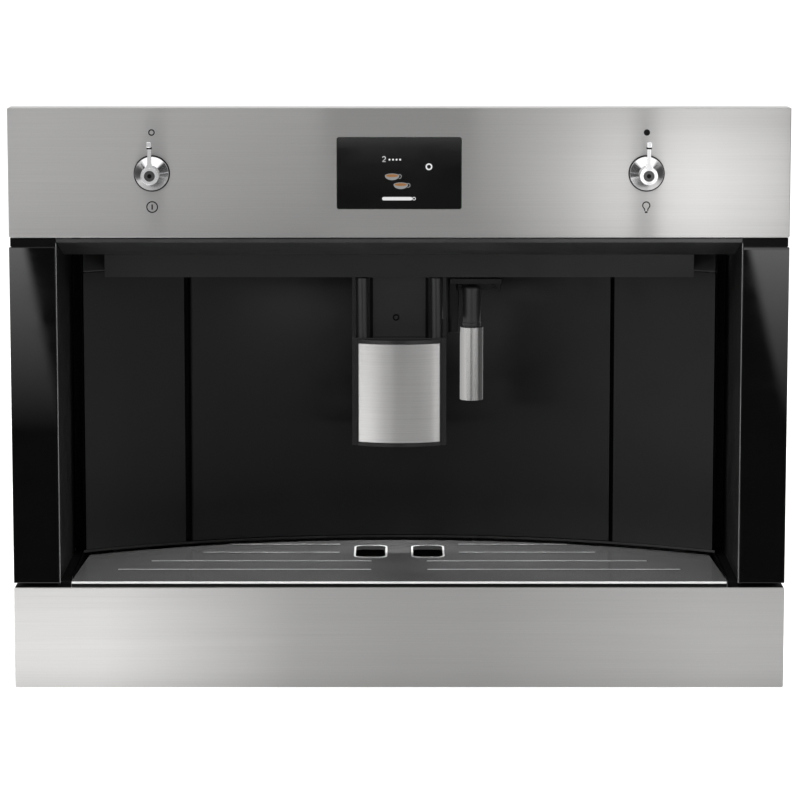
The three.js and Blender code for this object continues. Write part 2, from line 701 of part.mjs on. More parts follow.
function addChassis() {
  const runners = [RUNNER_INSET - BASIN_HALF, BASIN_HALF - RUNNER_INSET].map((x) =>
    box(
      x - RUNNER_WIDTH / 2,
      x + RUNNER_WIDTH / 2,
      CHASSIS_FRONT,
      WALL_REAR,
      CHASSIS_BOTTOM,
      BASIN_BOTTOM - FIT,
    ),
  );
  const saddleFront = PUMP_FRONT + PUMP_SADDLE_INSET;
  const saddleRear = saddleFront + PUMP_SADDLE_LENGTH;
  const saddleTop = PUMP_Z - PUMP_RADIUS * 0.7;
  add(
    "base_plate",
    cut(
      join(
        box(-INSIDE_HALF, INSIDE_HALF, CHASSIS_FRONT, BACK_PLATE - FIT, CHASSIS_BOTTOM, BASE_TOP),
        ...runners,
        box(PUMP_X - PUMP_RADIUS, PUMP_X + PUMP_RADIUS, saddleFront, saddleRear, BASE_TOP - LAP, saddleTop),
      ),
      rodY(PUMP_X, PUMP_Z, PUMP_RADIUS + FIT, saddleFront - LAP, saddleRear + LAP, 24),
    ),
    "zinc",
  );

  // The side panels step back round the recess walls.
  const side = outline([
    [CHASSIS_FRONT, CHASSIS_BOTTOM],
    [BACK_PLATE - FIT, CHASSIS_BOTTOM],
    [BACK_PLATE - FIT, ROOF_BOTTOM - FIT],
    [CHASSIS_FRONT, ROOF_BOTTOM - FIT],
    [CHASSIS_FRONT, WALL_TOP + FIT],
    [WALL_REAR + FIT, WALL_TOP + FIT],
    [WALL_REAR + FIT, GLASS_BOTTOM - FIT],
    [CHASSIS_FRONT, GLASS_BOTTOM - FIT],
  ]);
  addPair("side_panel", alongX(side, CHASSIS_HALF - SHEET, CHASSIS_HALF), "zinc");

  const vents = [];
  for (let row = 0; row < VENT_ROWS; row += 1) {
    const z = VENT_BOTTOM + row * VENT_PITCH;
    vents.push(box(VENT_LEFT, VENT_RIGHT, BACK_PLATE - LAP, CHASSIS_DEPTH + LAP, z, z + VENT_HEIGHT));
  }
  const inletHole = box(
    INLET_X - INLET_HALF_WIDTH,
    INLET_X + INLET_HALF_WIDTH,
    BACK_PLATE - LAP,
    CHASSIS_DEPTH + LAP,
    INLET_HEIGHT - INLET_HALF_HEIGHT,
    INLET_HEIGHT + INLET_HALF_HEIGHT,
  );
  const switchGap = SWITCH_HALF_WIDTH + FIT;
  const switchHole = box(
    SWITCH_X - switchGap,
    SWITCH_X + switchGap,
    BACK_PLATE - LAP,
    CHASSIS_DEPTH + LAP,
    SWITCH_HEIGHT - SWITCH_HALF_HEIGHT - SWITCH_SWEEP,
    SWITCH_HEIGHT + SWITCH_HALF_HEIGHT + SWITCH_SWEEP,
  );
  const earFront = SWITCH_AXIS - SWITCH_DEPTH / 2;
  const earHalf = SWITCH_HALF_HEIGHT / 2;
  const ears = [SWITCH_X - switchGap - SHEET, SWITCH_X + switchGap].map((x) =>
    box(x, x + SHEET, earFront, BACK_PLATE + LAP, SWITCH_HEIGHT - earHalf, SWITCH_HEIGHT + earHalf),
  );
  const earReach = switchGap + SHEET + LAP;
  const backPlate = cut(
    box(-CHASSIS_HALF, CHASSIS_HALF, BACK_PLATE, CHASSIS_DEPTH, CHASSIS_BOTTOM, CHASSIS_TOP),
    ...vents,
    inletHole,
    switchHole,
  );
  add(
    "rear_panel",
    cut(
      join(backPlate, ...ears),
      rodX(
        SWITCH_AXIS,
        SWITCH_HEIGHT,
        SWITCH_PIN_RADIUS + RUN,
        SWITCH_X - earReach,
        SWITCH_X + earReach,
        16,
      ),
    ),
    "zinc",
  );

  const roofCut = [ROOF_BOTTOM - LAP, CHASSIS_TOP + LAP];
  add(
    "top_cover",
    cut(
      join(
        box(-CHASSIS_HALF, CHASSIS_HALF, CHASSIS_FRONT, BACK_PLATE - FIT, ROOF_BOTTOM, CHASSIS_TOP),
        ...flapEars(BEAN_LID),
        ...flapEars(POWDER_LID),
      ),
      flapBore(BEAN_LID),
      flapBore(POWDER_LID),
      box(HOPPER_LEFT, HOPPER_RIGHT, HOPPER_FRONT, HOPPER_REAR, ...roofCut),
      column(CHUTE_X, CHUTE_Y, CHUTE_HALF + FIT, ...roofCut),
      rodZ(DIAL_X, DIAL_Y, DIAL_RADIUS + RUN, ...roofCut, 32),
    ),
    "zinc",
  );

  const openingHalf = RECESS_HALF + PLASTIC + FIT;
  add(
    "front_frame",
    cut(
      box(
        -FRONT_HALF + FRAME_MARGIN,
        FRONT_HALF - FRAME_MARGIN,
        FRAME_FACE,
        0,
        FRONT_BOTTOM + FRAME_MARGIN,
        FRONT_TOP - FRAME_MARGIN,
      ),
      box(
        -openingHalf,
        openingHalf,
        FRAME_FACE - LAP,
        LAP,
        BASIN_BOTTOM - FRAME_SILL,
        WALL_TOP + FIT,
      ),
      box(
        -CHASSIS_HALF - FIT,
        CHASSIS_HALF + FIT,
        -FRAME_SEAT,
        LAP,
        CHASSIS_BOTTOM - FIT,
        CHASSIS_TOP + FIT,
      ),
    ),
    "black",
  );

  // The shelf behind the recess, with the way down for the grounds.
  const shelf = new THREE.Shape();
  shelf.moveTo(INSIDE_HALF, BACK_PLATE - FIT);
  shelf.lineTo(-INSIDE_HALF, BACK_PLATE - FIT);
  shelf.lineTo(-INSIDE_HALF, backAt(INSIDE_HALF));
  const reach = Math.acos(INSIDE_HALF / BACK_RADIUS);
  shelf.absarc(0, ARC_CENTRE, BACK_RADIUS, Math.PI - reach, reach, true);
  shelf.closePath();
  const wayInset = BREW_WALL - FIT;
  const shelfCut = [SHELF_BOTTOM - LAP, SHELF_TOP + LAP];
  const groundsWay = box(
    BREW_LEFT + wayInset,
    BREW_RIGHT - wayInset,
    BREW_Y - BREW_LENGTH / 2 + wayInset,
    BREW_Y + BREW_LENGTH / 2 - wayInset,
    ...shelfCut,
  );
  const [knuckleX, knuckleY] = knuckleAxis();
  add(
    "brew_shelf",
    cut(
      alongZ(shelf, SHELF_BOTTOM, SHELF_TOP, 24),
      groundsWay,
      rodZ(knuckleX, knuckleY, PIN_RADIUS + RUN, ...shelfCut, 16),
    ),
    "zinc",
  );

  const deckCut = [DECK_BOTTOM - LAP, DECK_TOP + LAP];
  add(
    "upper_deck",
    cut(
      box(-INSIDE_HALF, INSIDE_HALF, CEILING_SLOPE_END, BACK_PLATE - FIT, DECK_BOTTOM, DECK_TOP),
      column(GRINDER_X, GRINDER_Y, HOPPER_OUTLET + HOPPER_WALL + FIT, ...deckCut),
      column(CHUTE_X, CHUTE_Y, CHUTE_HALF + FIT, ...deckCut),
    ),
    "zinc",
  );
}

// ---- Front ----

function addFront() {
  add("control_fascia", controlFascia(), "steel");
  add("drawer_front", frontPan(FRONT_BOTTOM, DRAWER_FRONT_TOP), "steel");

  const glass = box(RECESS_HALF, FRONT_HALF, FACE, FACE + GLASS_THICKNESS, GLASS_BOTTOM, GLASS_TOP);
  addPair("side_glass", glass, "blackGlass");

  // Plan of a side wall: the carrier behind the glass, the wall that runs back, and its rear end, which
  // turns in to meet the side panel.
  const outerEdge = FRONT_HALF - CARRIER_MARGIN;
  const wall = outline([
    [RECESS_HALF, GLASS_REAR],
    [outerEdge, GLASS_REAR],
    [outerEdge, PAN_REAR],
    [outerEdge - PLASTIC, PAN_REAR],
    [outerEdge - PLASTIC, GLASS_REAR + PLASTIC],
    [RECESS_HALF + PLASTIC, GLASS_REAR + PLASTIC],
    [RECESS_HALF + PLASTIC, WALL_REAR],
    [CHASSIS_HALF - SHEET, WALL_REAR],
    [CHASSIS_HALF - SHEET, WALL_REAR - PLASTIC],
    [RECESS_HALF, WALL_REAR - PLASTIC],
  ]);
  addPair("recess_wall", alongZ(wall, GLASS_BOTTOM, WALL_TOP), "gloss");

  const strip = outline([
    [GLASS_REAR, SLOPE_TOP],
    [CEILING_SLOPE_END, SLOPE_FOOT],
    [CEILING_SLOPE_END + CEILING_FOOT_LENGTH, SLOPE_FOOT],
    [CEILING_SLOPE_END + CEILING_FOOT_LENGTH, CEILING_HEIGHT + FIT],
    [CEILING_SLOPE_END - LAP, CEILING_HEIGHT + FIT],
    [GLASS_REAR, SLOPE_TOP + PLASTIC],
  ]);
  const slabRear = BACK_DEPTH + HEAD_REAR;
  const slabTop = CEILING_HEIGHT + CEILING_THICKNESS;
  add(
    "recess_ceiling",
    join(
      alongX(strip, -RECESS_HALF + FIT, RECESS_HALF - FIT),
      box(-BACK_HALF_WIDTH, BACK_HALF_WIDTH, CEILING_SLOPE_END, slabRear, CEILING_HEIGHT, slabTop),
    ),
    "black",
  );
}

function controlFascia() {
  const through = [FACE - LAP, FACE + SHEET + LAP];
  const holes = [-KNOB_X, KNOB_X].map((x) =>
    rodY(x, CONTROL_HEIGHT, KNOB_RADIUS + RUN, ...through, 40),
  );
  return cut(frontPan(FASCIA_BOTTOM, FRONT_TOP), displayWindow(FIT, ...through), ...holes);
}

// The display's rounded window, grown sideways and carried back from low to high.
function displayWindow(grow, low, high) {
  const shape = roundedOutline(DISPLAY_WIDTH + 2 * grow, DISPLAY_HEIGHT + 2 * grow, DISPLAY_CORNER);
  return alongY(shape, low, high).translate(0, 0, CONTROL_HEIGHT);
}

// ---- Controls ----

function addControls() {
  add("display_glass", displayWindow(0, FACE, FACE + DISPLAY_GLASS), "blackGlass");

  const halfWidth = DISPLAY_WIDTH / 2 + MODULE_MARGIN;
  const halfHeight = DISPLAY_HEIGHT / 2 + MODULE_MARGIN;
  const moduleFace = FACE + Math.max(SHEET, DISPLAY_GLASS) + FIT;
  const halfBoard = KNOB_X + BOARD_MARGIN;
  const pieces = [
    box(
      -halfWidth,
      halfWidth,
      moduleFace,
      PAN_REAR,
      CONTROL_HEIGHT - halfHeight,
      CONTROL_HEIGHT + halfHeight,
    ),
  ];
  const bores = [];
  const encoderFace = BOARD_FACE - ENCODER_DEPTH;
  for (const x of [-KNOB_X, KNOB_X]) {
    const half = ENCODER_SIZE / 2;
    const [low, high] = [CONTROL_HEIGHT - half, CONTROL_HEIGHT + half];
    pieces.push(box(x - half, x + half, encoderFace, BOARD_FACE + LAP, low, high));
    bores.push(rodY(x, CONTROL_HEIGHT, STEM_RADIUS + RUN, encoderFace - LAP, BOARD_FACE - LAP, 20));
  }
  const board = box(
    -halfBoard,
    halfBoard,
    BOARD_FACE,
    PAN_REAR,
    CONTROL_HEIGHT - BOARD_HALF_HEIGHT,
    CONTROL_HEIGHT + BOARD_HALF_HEIGHT,
  );
  add("control_board", cut(join(board, ...pieces), ...bores), "board");

  const stemEnd = BOARD_FACE - LAP - KNOB_TRAVEL - FIT;
  for (const [side, x] of [
    ["left", -KNOB_X],
    ["right", KNOB_X],
  ]) {
    add(`knob_stem_${side}`, rodY(x, CONTROL_HEIGHT, STEM_RADIUS, STEM_FRONT, stemEnd), "zinc");
    add(`knob_${side}`, leverKnob(x), "chrome");
  }
}

// A cone with a flat hub, bored for the stem, and a lever that ends in a bent tip.
function leverKnob(x) {
  const skirtBack = FACE + SHEET + FIT;
  const cone = turnedY(
    [
      [0, HUB_FACE],
      [KNOB_HUB_RADIUS - KNOB_EDGE, HUB_FACE],
      [KNOB_HUB_RADIUS, HUB_FACE + KNOB_EDGE],
      [KNOB_RADIUS, FACE - KNOB_SKIRT],
      [KNOB_RADIUS, skirtBack],
      [0, skirtBack],
    ],
    x,
    CONTROL_HEIGHT,
  );
  // The lever starts inside the hub, runs up in front of the cone and bends forward at its tip: each
  // stop is a share of its length and how far its middle lies behind the straight stretch.
  const leverY = HUB_FACE + LEVER_INSET + LEVER_THICKNESS / 2;
  const stops = [
    [0, 1.5],
    [0.4, 0.6],
    [0.8, 0],
    [0.94, -0.35 * LEVER_BEND],
    [1, -LEVER_BEND],
  ];
  const route = new THREE.CatmullRomCurve3(
    stops.map(([share, behind]) => {
      const z = CONTROL_HEIGHT + share * LEVER_LENGTH;
      return new THREE.Vector3(x, leverY + behind, z);
    }),
  );
  const section = roundedOutline(LEVER_THICKNESS, LEVER_WIDTH, LEVER_CORNER);
  const lever = new THREE.ExtrudeGeometry(section, { steps: 12, curveSegments: 3, extrudePath: route });
  const bore = rodY(x, CONTROL_HEIGHT, STEM_RADIUS + FIT, STEM_FRONT - FIT, skirtBack + LAP);
  return cut(join(cone, lever), bore);
}

// ---- Dispensing head ----

// The hinge axis of the service door, at its left end.
function knuckleAxis() {
  const x = -SEAM_X + PANEL_SEAM / 2 + KNUCKLE_RADIUS;
  return [x, backAt(x, KNUCKLE_RADIUS)];
}

function addHead() {
  const headPlan = (inset) =>
    arcPlan(HEAD_FRONT + inset, HEAD_HALF_WIDTH - inset, HEAD_HALF_WIDTH - inset, HEAD_REAR - inset);
  const outer = alongZ(headPlan(0), HEAD_BOTTOM, HEAD_TOP, 24);
  const inner = alongZ(headPlan(PLASTIC), HEAD_BOTTOM + PLASTIC, HEAD_TOP + LAP, 24);
  const apron = alongZ(arcBand(0, PLASTIC, -BACK_HALF_WIDTH, BACK_HALF_WIDTH), HEAD_BOTTOM, HEAD_TOP, 24);
  const [knuckleX, knuckleY] = knuckleAxis();
  add(
    "dispensing_head",
    cut(
      join(cut(outer, inner), apron),
      rodZ(knuckleX, knuckleY, PIN_RADIUS + RUN, HEAD_BOTTOM - LAP, HEAD_BOTTOM + PIN_REACH + LAP, 16),
      lampBar(FIT, HEAD_BOTTOM - LAP, HEAD_BOTTOM + PLASTIC + LAP),
    ),
    "black",
  );
  const flangeLow = HEAD_BOTTOM + PLASTIC + FIT;
  add(
    "cup_lamp",
    join(
      lampBar(0, HEAD_BOTTOM, flangeLow + LAP),
      lampBar(LAMP_FLANGE, flangeLow, flangeLow + LAMP_FLANGE),
    ),
    "white",
  );
}

// The light bar in the head's floor, or the slot for it, grown sideways.
function lampBar(grow, low, high) {
  const half = LAMP_HALF_LENGTH + grow;
  return box(-half, half, LAMP_Y - LAMP_HALF_WIDTH - grow, LAMP_Y + LAMP_HALF_WIDTH + grow, low, high);
}

// A curved recess panel between two places in x.
function curvedPanel(xLow, xHigh, low, high) {
  return alongZ(arcBand(0, PLASTIC, xLow, xHigh), low, high, 12);
}

// ---- Service door with spout and nozzle ----

function addServiceDoor() {
  const [knuckleX, knuckleY] = knuckleAxis();
  const low = ON_SHELF + FIT;
  const guideTop = BRACKET_TOP;
  const headRear = GUIDE_FRONT + GUIDE_HEAD_THICKNESS;
  add(
    "service_door",
    join(
      curvedPanel(knuckleX, SEAM_X - PANEL_SEAM / 2, low, PANEL_TOP),
      rodZ(knuckleX, knuckleY, KNUCKLE_RADIUS, low, PANEL_TOP, 20),
      rodZ(knuckleX, knuckleY, PIN_RADIUS, low - SHELF_THICKNESS, HEAD_BOTTOM + PIN_REACH, 16),
      // The upright guide that the spout slides on.
      box(-GUIDE_HALF_WIDTH, GUIDE_HALF_WIDTH, GUIDE_FRONT, BACK_DEPTH + LAP, SPOUT_BOTTOM, guideTop),
      box(-GUIDE_HEAD_HALF_WIDTH, GUIDE_HEAD_HALF_WIDTH, GUIDE_FRONT, headRear, SPOUT_BOTTOM, guideTop),
    ),
    "black",
  );
}

// Plan of the convex front: straight sides from rear to front, then the bulge.
function bulgedPlan(halfWidth, front, rear, bulge) {
  const radius = (halfWidth ** 2 + bulge ** 2) / (2 * bulge);
  const half = Math.asin(halfWidth / radius);
  const shape = new THREE.Shape();
  shape.moveTo(halfWidth, rear);
  shape.lineTo(-halfWidth, rear);
  shape.lineTo(-halfWidth, front);
  shape.absarc(0, front + radius - bulge, radius, -Math.PI / 2 - half, -Math.PI / 2 + half);
  shape.closePath();
  return shape;
}

function addSpout() {
  const plateHalf = SPOUT_PLATE_WIDTH / 2;
  const behindPlate = SPOUT_FRONT + SPOUT_PLATE_THICKNESS;
  const lower = alongZ(
    bulgedPlan(plateHalf, SPOUT_FRONT, SPOUT_REAR, SPOUT_PLATE_BULGE),
    SPOUT_BOTTOM,
    SPOUT_SHOULDER,
    16,
  );
  // The pillars above the steel plate, each with the web that carries it.
  const pillars = [-PILLAR_X, PILLAR_X].flatMap((x) => [
    rodZ(x, PILLAR_Y, PILLAR_RADIUS, SPOUT_SHOULDER, PANEL_TOP, 20),
    box(
      x - PILLAR_RADIUS,
      x + PILLAR_RADIUS,
      PILLAR_Y,
      PILLAR_Y + PILLAR_REVEAL + LAP,
      SPOUT_SHOULDER,
      PANEL_TOP,
    ),
  ]);
  const body = join(
    lower,
    box(-SPOUT_HALF, SPOUT_HALF, behindPlate, SPOUT_REAR, SPOUT_BOTTOM, SPOUT_SHOULDER + LAP),
    box(-SPOUT_HALF, SPOUT_HALF, PILLAR_Y + PILLAR_REVEAL, SPOUT_REAR, SPOUT_SHOULDER, PANEL_TOP),
    ...pillars,
  );
  const plateSeat = box(
    -SPOUT_HALF - LAP,
    SPOUT_HALF + LAP,
    SPOUT_FRONT - SPOUT_PLATE_BULGE - LAP,
    behindPlate + FIT,
    PLATE_BOTTOM - FIT,
    PLATE_TOP + FIT,
  );
  const backing = alongZ(
    bulgedPlan(plateHalf - SPOUT_PLATE_THICKNESS, behindPlate + FIT, SPOUT_REAR, SPOUT_PLATE_BULGE),
    PLATE_BOTTOM - LAP,
    PLATE_TOP + LAP,
    16,
  );
  const channel = [SPOUT_BOTTOM - LAP, PANEL_TOP + LAP];
  const headHalf = GUIDE_HEAD_HALF_WIDTH + GUIDE_PLAY;
  const headRear = GUIDE_FRONT + GUIDE_HEAD_THICKNESS + GUIDE_PLAY;
  const neckHalf = GUIDE_HALF_WIDTH + GUIDE_PLAY;
  // The hollows beside the guide, open to the rear.
  const hollowInner = headHalf + SPOUT_SIDE_WALL;
  const hollowOuter = SPOUT_HALF - SPOUT_SIDE_WALL;
  const hollow = [
    OUTLET_Y + OUTLET_WALL,
    SPOUT_REAR + LAP,
    SPOUT_BOTTOM + SPOUT_SIDE_WALL,
    PANEL_TOP - SPOUT_SIDE_WALL,
  ];
  const outlets = [-OUTLET_X, OUTLET_X].map((x) =>
    rodZ(x, OUTLET_Y, OUTLET_RADIUS, SPOUT_BOTTOM - LAP, SPOUT_BOTTOM + OUTLET_LENGTH, 16),
  );
  add(
    "spout_housing",
    cut(
      join(cut(body, plateSeat), backing),
      box(-headHalf, headHalf, GUIDE_FRONT - GUIDE_PLAY, headRear, ...channel),
      box(-neckHalf, neckHalf, GUIDE_FRONT, SPOUT_REAR + LAP, ...channel),
      box(-hollowOuter, -hollowInner, ...hollow),
      box(hollowInner, hollowOuter, ...hollow),
      ...outlets,
    ),
    "gloss",
  );

  const plateRear = SPOUT_FRONT + LAP;
  add(
    "spout_plate",
    cut(
      alongZ(bulgedPlan(plateHalf, SPOUT_FRONT, plateRear, SPOUT_PLATE_BULGE), PLATE_BOTTOM, PLATE_TOP, 16),
      alongZ(
        bulgedPlan(plateHalf - FIT, behindPlate, plateRear + SPOUT_PLATE_BULGE, SPOUT_PLATE_BULGE),
        PLATE_BOTTOM - LAP,
        PLATE_TOP + LAP,
        16,
      ),
    ),
    "steel",
  );
}

function addNozzle() {
  const eyeRear = NOZZLE_Y + GRIP_RADIUS;
  const pivotRear = eyeRear + FIT;
  const pivotFront = NOZZLE_Y - GRIP_RADIUS;
  const rear = backAt(BRACKET_RIGHT) - FIT;
  const eyeOuter = NOZZLE_EYE_RADIUS + NOZZLE_EYE_GAP;
  const sideLow = BRACKET_TOP - BRACKET_SIDE_HEIGHT;
  add(
    "nozzle_bracket",
    join(
      box(BRACKET_LEFT, BRACKET_RIGHT, pivotFront, rear, BRACKET_ROOF, BRACKET_TOP),
      box(BRACKET_LEFT, BRACKET_LEFT + PLASTIC, pivotRear, rear, sideLow, BRACKET_TOP),
      box(
        NOZZLE_X - eyeOuter,
        NOZZLE_X + eyeOuter,
        pivotRear,
        pivotRear + BRACKET_CHEEK,
        NOZZLE_PIVOT - eyeOuter,
        BRACKET_TOP,
      ),
      rodY(NOZZLE_X, NOZZLE_PIVOT, NOZZLE_BOSS_RADIUS, pivotFront, pivotRear + LAP, 20),
    ),
    "gloss",
  );

  const neck = NOZZLE_PIVOT - NOZZLE_EYE_RADIUS + LAP;
  const boreTop = GRIP_BOTTOM + NOZZLE_BORE_LENGTH;
  add(
    "nozzle_grip",
    cut(
      join(
        rodY(NOZZLE_X, NOZZLE_PIVOT, NOZZLE_EYE_RADIUS, pivotFront, eyeRear, 28),
        rodZ(NOZZLE_X, NOZZLE_Y, GRIP_RADIUS, GRIP_BOTTOM, neck, 24),
      ),
      rodY(NOZZLE_X, NOZZLE_PIVOT, NOZZLE_BOSS_RADIUS + RUN, pivotFront - LAP, pivotRear + LAP, 20),
      rodZ(NOZZLE_X, NOZZLE_Y, NOZZLE_BORE_RADIUS, GRIP_BOTTOM - LAP, boreTop, 12),
    ),
    "black",
  );

  const floorTop = SLEEVE_BOTTOM + SLEEVE_WALL;
  add(
    "nozzle_sleeve",
    cut(
      rodZ(NOZZLE_X, NOZZLE_Y, SLEEVE_RADIUS, SLEEVE_BOTTOM, SLEEVE_TOP, 32),
      rodZ(NOZZLE_X, NOZZLE_Y, SLEEVE_RADIUS - SLEEVE_WALL, floorTop, SLEEVE_TOP + LAP, 32),
      rodZ(NOZZLE_X, NOZZLE_Y, SLEEVE_BORE_RADIUS, SLEEVE_BOTTOM - LAP, floorTop + LAP, 16),
    ),
    "steel",
  );
}

// ---- Drawer ----

function addDrawer() {
  const basinPlan = (inset) =>
    arcPlan(FRAME_FACE + inset, BASIN_HALF - inset, BASIN_HALF - inset, -BASIN_ARC_GAP - inset);
  const groundsHalf = GROUNDS_WIDTH / 2;
  const tongueHalf = groundsHalf + TONGUE_MARGIN;
  const tongueFront = BACK_DEPTH - BASIN_ARC_GAP - BASIN_WALL;
  const tongueEnd = GROUNDS_REAR + TONGUE_MARGIN;
  const lipFront = GROUNDS_REAR + FIT;
  add(
    "drip_basin",
    join(
      cut(
        alongZ(basinPlan(0), BASIN_BOTTOM, BASIN_TOP, 24),
        alongZ(basinPlan(BASIN_WALL), BASIN_FLOOR, BASIN_TOP + LAP, 24),
      ),
      rodZ(FLOAT_X, FLOAT_Y, POST_RADIUS, BASIN_FLOOR - LAP, BASIN_TOP - POST_GAP, 16),
      box(-tongueHalf, tongueHalf, tongueFront, tongueEnd, BASIN_BOTTOM, BASIN_FLOOR),
      box(-tongueHalf, tongueHalf, lipFront, tongueEnd, BASIN_BOTTOM, BASIN_FLOOR + TONGUE_LIP),
    ),
    "black",
  );

  const floatLow = BASIN_FLOOR + FIT;
  const floatHigh = floatLow + FLOAT_HEIGHT;
  add(
    "level_float",
    cut(
      rodZ(FLOAT_X, FLOAT_Y, FLOAT_RADIUS, floatLow, floatHigh, 24),
      rodZ(FLOAT_X, FLOAT_Y, POST_RADIUS + RUN, floatLow - LAP, floatHigh + LAP, 16),
    ),
    "red",
  );

  const grilleLow = TRAY_TOP - GRILLE_THICKNESS;
  const through = [grilleLow - LAP, TRAY_TOP + LAP];
  const slots = SLOT_ROWS.flatMap(({ depth, inner, margin }) => {
    const outer = TRAY_REAR_HALF - margin;
    const rows = [depth - SLOT_WIDTH / 2, depth + SLOT_WIDTH / 2];
    return [box(-outer, -inner, ...rows, ...through), box(inner, outer, ...rows, ...through)];
  });
  const drains = [-DRAIN_X, DRAIN_X].map((x) =>
    alongZ(roundedOutline(DRAIN_WIDTH, DRAIN_LENGTH, DRAIN_CORNER), ...through).translate(
      x,
      DRAIN_FRONT + DRAIN_LENGTH / 2,
      0,
    ),
  );
  const grille = alongZ(
    arcPlan(FACE + TRAY_LIP, TRAY_FRONT_HALF, TRAY_REAR_HALF, -TRAY_ARC_GAP),
    grilleLow,
    TRAY_TOP,
    32,
  );
  add("cup_grille", cut(grille, ...slots, ...drains), "gloss");

  const groundsLow = BASIN_FLOOR + FIT;
  const groundsTop = SHELF_BOTTOM - LAP;
  const innerHalf = groundsHalf - GROUNDS_WALL;
  add(
    "grounds_container",
    cut(
      box(-groundsHalf, groundsHalf, GROUNDS_FRONT, GROUNDS_REAR, groundsLow, groundsTop),
      box(
        -innerHalf,
        innerHalf,
        GROUNDS_FRONT + GROUNDS_WALL,
        GROUNDS_REAR - GROUNDS_WALL,
        groundsLow + GROUNDS_WALL,
        groundsTop + LAP,
      ),
    ),
    "black",
  );
}

// ---- Water tank ----

function tankPlan(inset) {
  const left = SEAM_X + PANEL_SEAM / 2 + TANK_SIDE_PLAY + inset;
  const right = INSIDE_HALF - TANK_SIDE_PLAY - inset;
  const radius = BACK_RADIUS + PLASTIC + FIT + inset;
  const shape = new THREE.Shape();
  const start = Math.acos(left / radius);
  const end = Math.acos(right / radius);
  shape.moveTo(left, TANK_REAR - inset);
  shape.lineTo(left, ARC_CENTRE + radius * Math.sin(start));
  shape.absarc(0, ARC_CENTRE, radius, start, end, true);
  shape.lineTo(right, TANK_REAR - inset);
  shape.closePath();
  return shape;
}

function addTank() {
  const centre = (INSIDE_HALF + SEAM_X) / 2;
  const spigotEnd = TANK_REAR + SPIGOT_LENGTH;
  const seamEnd = SEAM_X + PANEL_SEAM / 2;
  add("tank_panel", curvedPanel(seamEnd, BACK_HALF_WIDTH, ON_SHELF, PANEL_TOP), "black");
  add(
    "water_tank",
    cut(
      join(
        alongZ(tankPlan(0), ON_SHELF, TANK_TOP, 12),
        rodY(centre, SPIGOT_Z, SPIGOT_RADIUS, TANK_REAR - LAP, spigotEnd, 20),
      ),
      alongZ(tankPlan(TANK_WALL), ON_SHELF + TANK_WALL, TANK_TOP + LAP, 12),
      rodY(centre, SPIGOT_Z, SPIGOT_RADIUS - SPIGOT_WALL, TANK_REAR - TANK_WALL - LAP, spigotEnd + LAP, 16),
    ),
    "clear",
  );
  const lidLow = TANK_TOP + FIT;
  const lidTop = lidLow + TANK_LID_THICKNESS;
  const mouth = box(
    centre - MOUTH_HALF_WIDTH,
    centre + MOUTH_HALF_WIDTH,
    BACK_DEPTH,
    BACK_DEPTH + MOUTH_LENGTH,
    lidLow - LAP,
    lidTop + LAP,
  );
  add("tank_lid", cut(alongZ(tankPlan(0), lidLow, lidTop, 12), mouth), "black");

  const dockFront = TANK_REAR + 2 * FIT;
  const dockBore = spigotEnd + LAP;
  const dockRear = dockBore + DOCK_REAR_WALL;
  add(
    "tank_dock",
    cut(
      box(
        centre - DOCK_HALF_WIDTH,
        centre + DOCK_HALF_WIDTH,
        dockFront,
        dockRear,
        ON_SHELF,
        ON_SHELF + DOCK_HEIGHT,
      ),
      rodY(centre, SPIGOT_Z, SPIGOT_RADIUS + RUN, dockFront - LAP, dockBore, 20),
    ),
    "black",
  );
}

// ---- Brewing works ----

function addBrewUnit() {
  const front = BREW_Y - BREW_LENGTH / 2;
  const rear = BREW_Y + BREW_LENGTH / 2;
  const chamberFloor = BREW_TOP - CHAMBER_DEPTH;
  const rodEnd = chamberFloor - PISTON_ROD_LENGTH;
  const pistonLow = chamberFloor + PISTON_REST;
  const gearboxLow = ON_SHELF + GEARBOX_RISE;
  const gearbox = box(
    BREW_RIGHT - LAP,
    BREW_RIGHT + GEARBOX_WIDTH,
    BREW_Y - GEARBOX_LENGTH / 2,
    BREW_Y + GEARBOX_LENGTH / 2,
    gearboxLow,
    gearboxLow + GEARBOX_HEIGHT,
  );
  // The way down for the used puck, open to the front, with a wall above it.
  const puckWay = box(
    BREW_LEFT + BREW_WALL,
    BREW_RIGHT - BREW_WALL,
    front - LAP,
    rear - BREW_WALL,
    ON_SHELF - LAP,
    rodEnd - BREW_WALL / 2,
  );
  add(
    "brew_body",
    cut(
      join(box(BREW_LEFT, BREW_RIGHT, front, rear, ON_SHELF, BREW_TOP), gearbox),
      rodZ(BREW_X, BREW_Y, CHAMBER_RADIUS, chamberFloor, BREW_TOP + LAP, 32),
      rodZ(BREW_X, BREW_Y, PISTON_ROD_RADIUS + RUN, rodEnd - LAP, chamberFloor + LAP, 20),
      puckWay,
    ),
    "white",
  );
  add(
    "brew_piston",
    join(
      rodZ(BREW_X, BREW_Y, CHAMBER_RADIUS - RUN, pistonLow, pistonLow + PISTON_HEIGHT, 32),
      rodZ(BREW_X, BREW_Y, PISTON_ROD_RADIUS, rodEnd, pistonLow + LAP, 20),
    ),
    "white",
  );
  add(
    "powder_chute",
    cut(
      column(CHUTE_X, CHUTE_Y, CHUTE_HALF, BREW_TOP + FIT, CHASSIS_TOP),
      column(CHUTE_X, CHUTE_Y, CHUTE_HALF - HOPPER_WALL, BREW_TOP, CHASSIS_TOP + LAP),
    ),
    "black",
  );
}

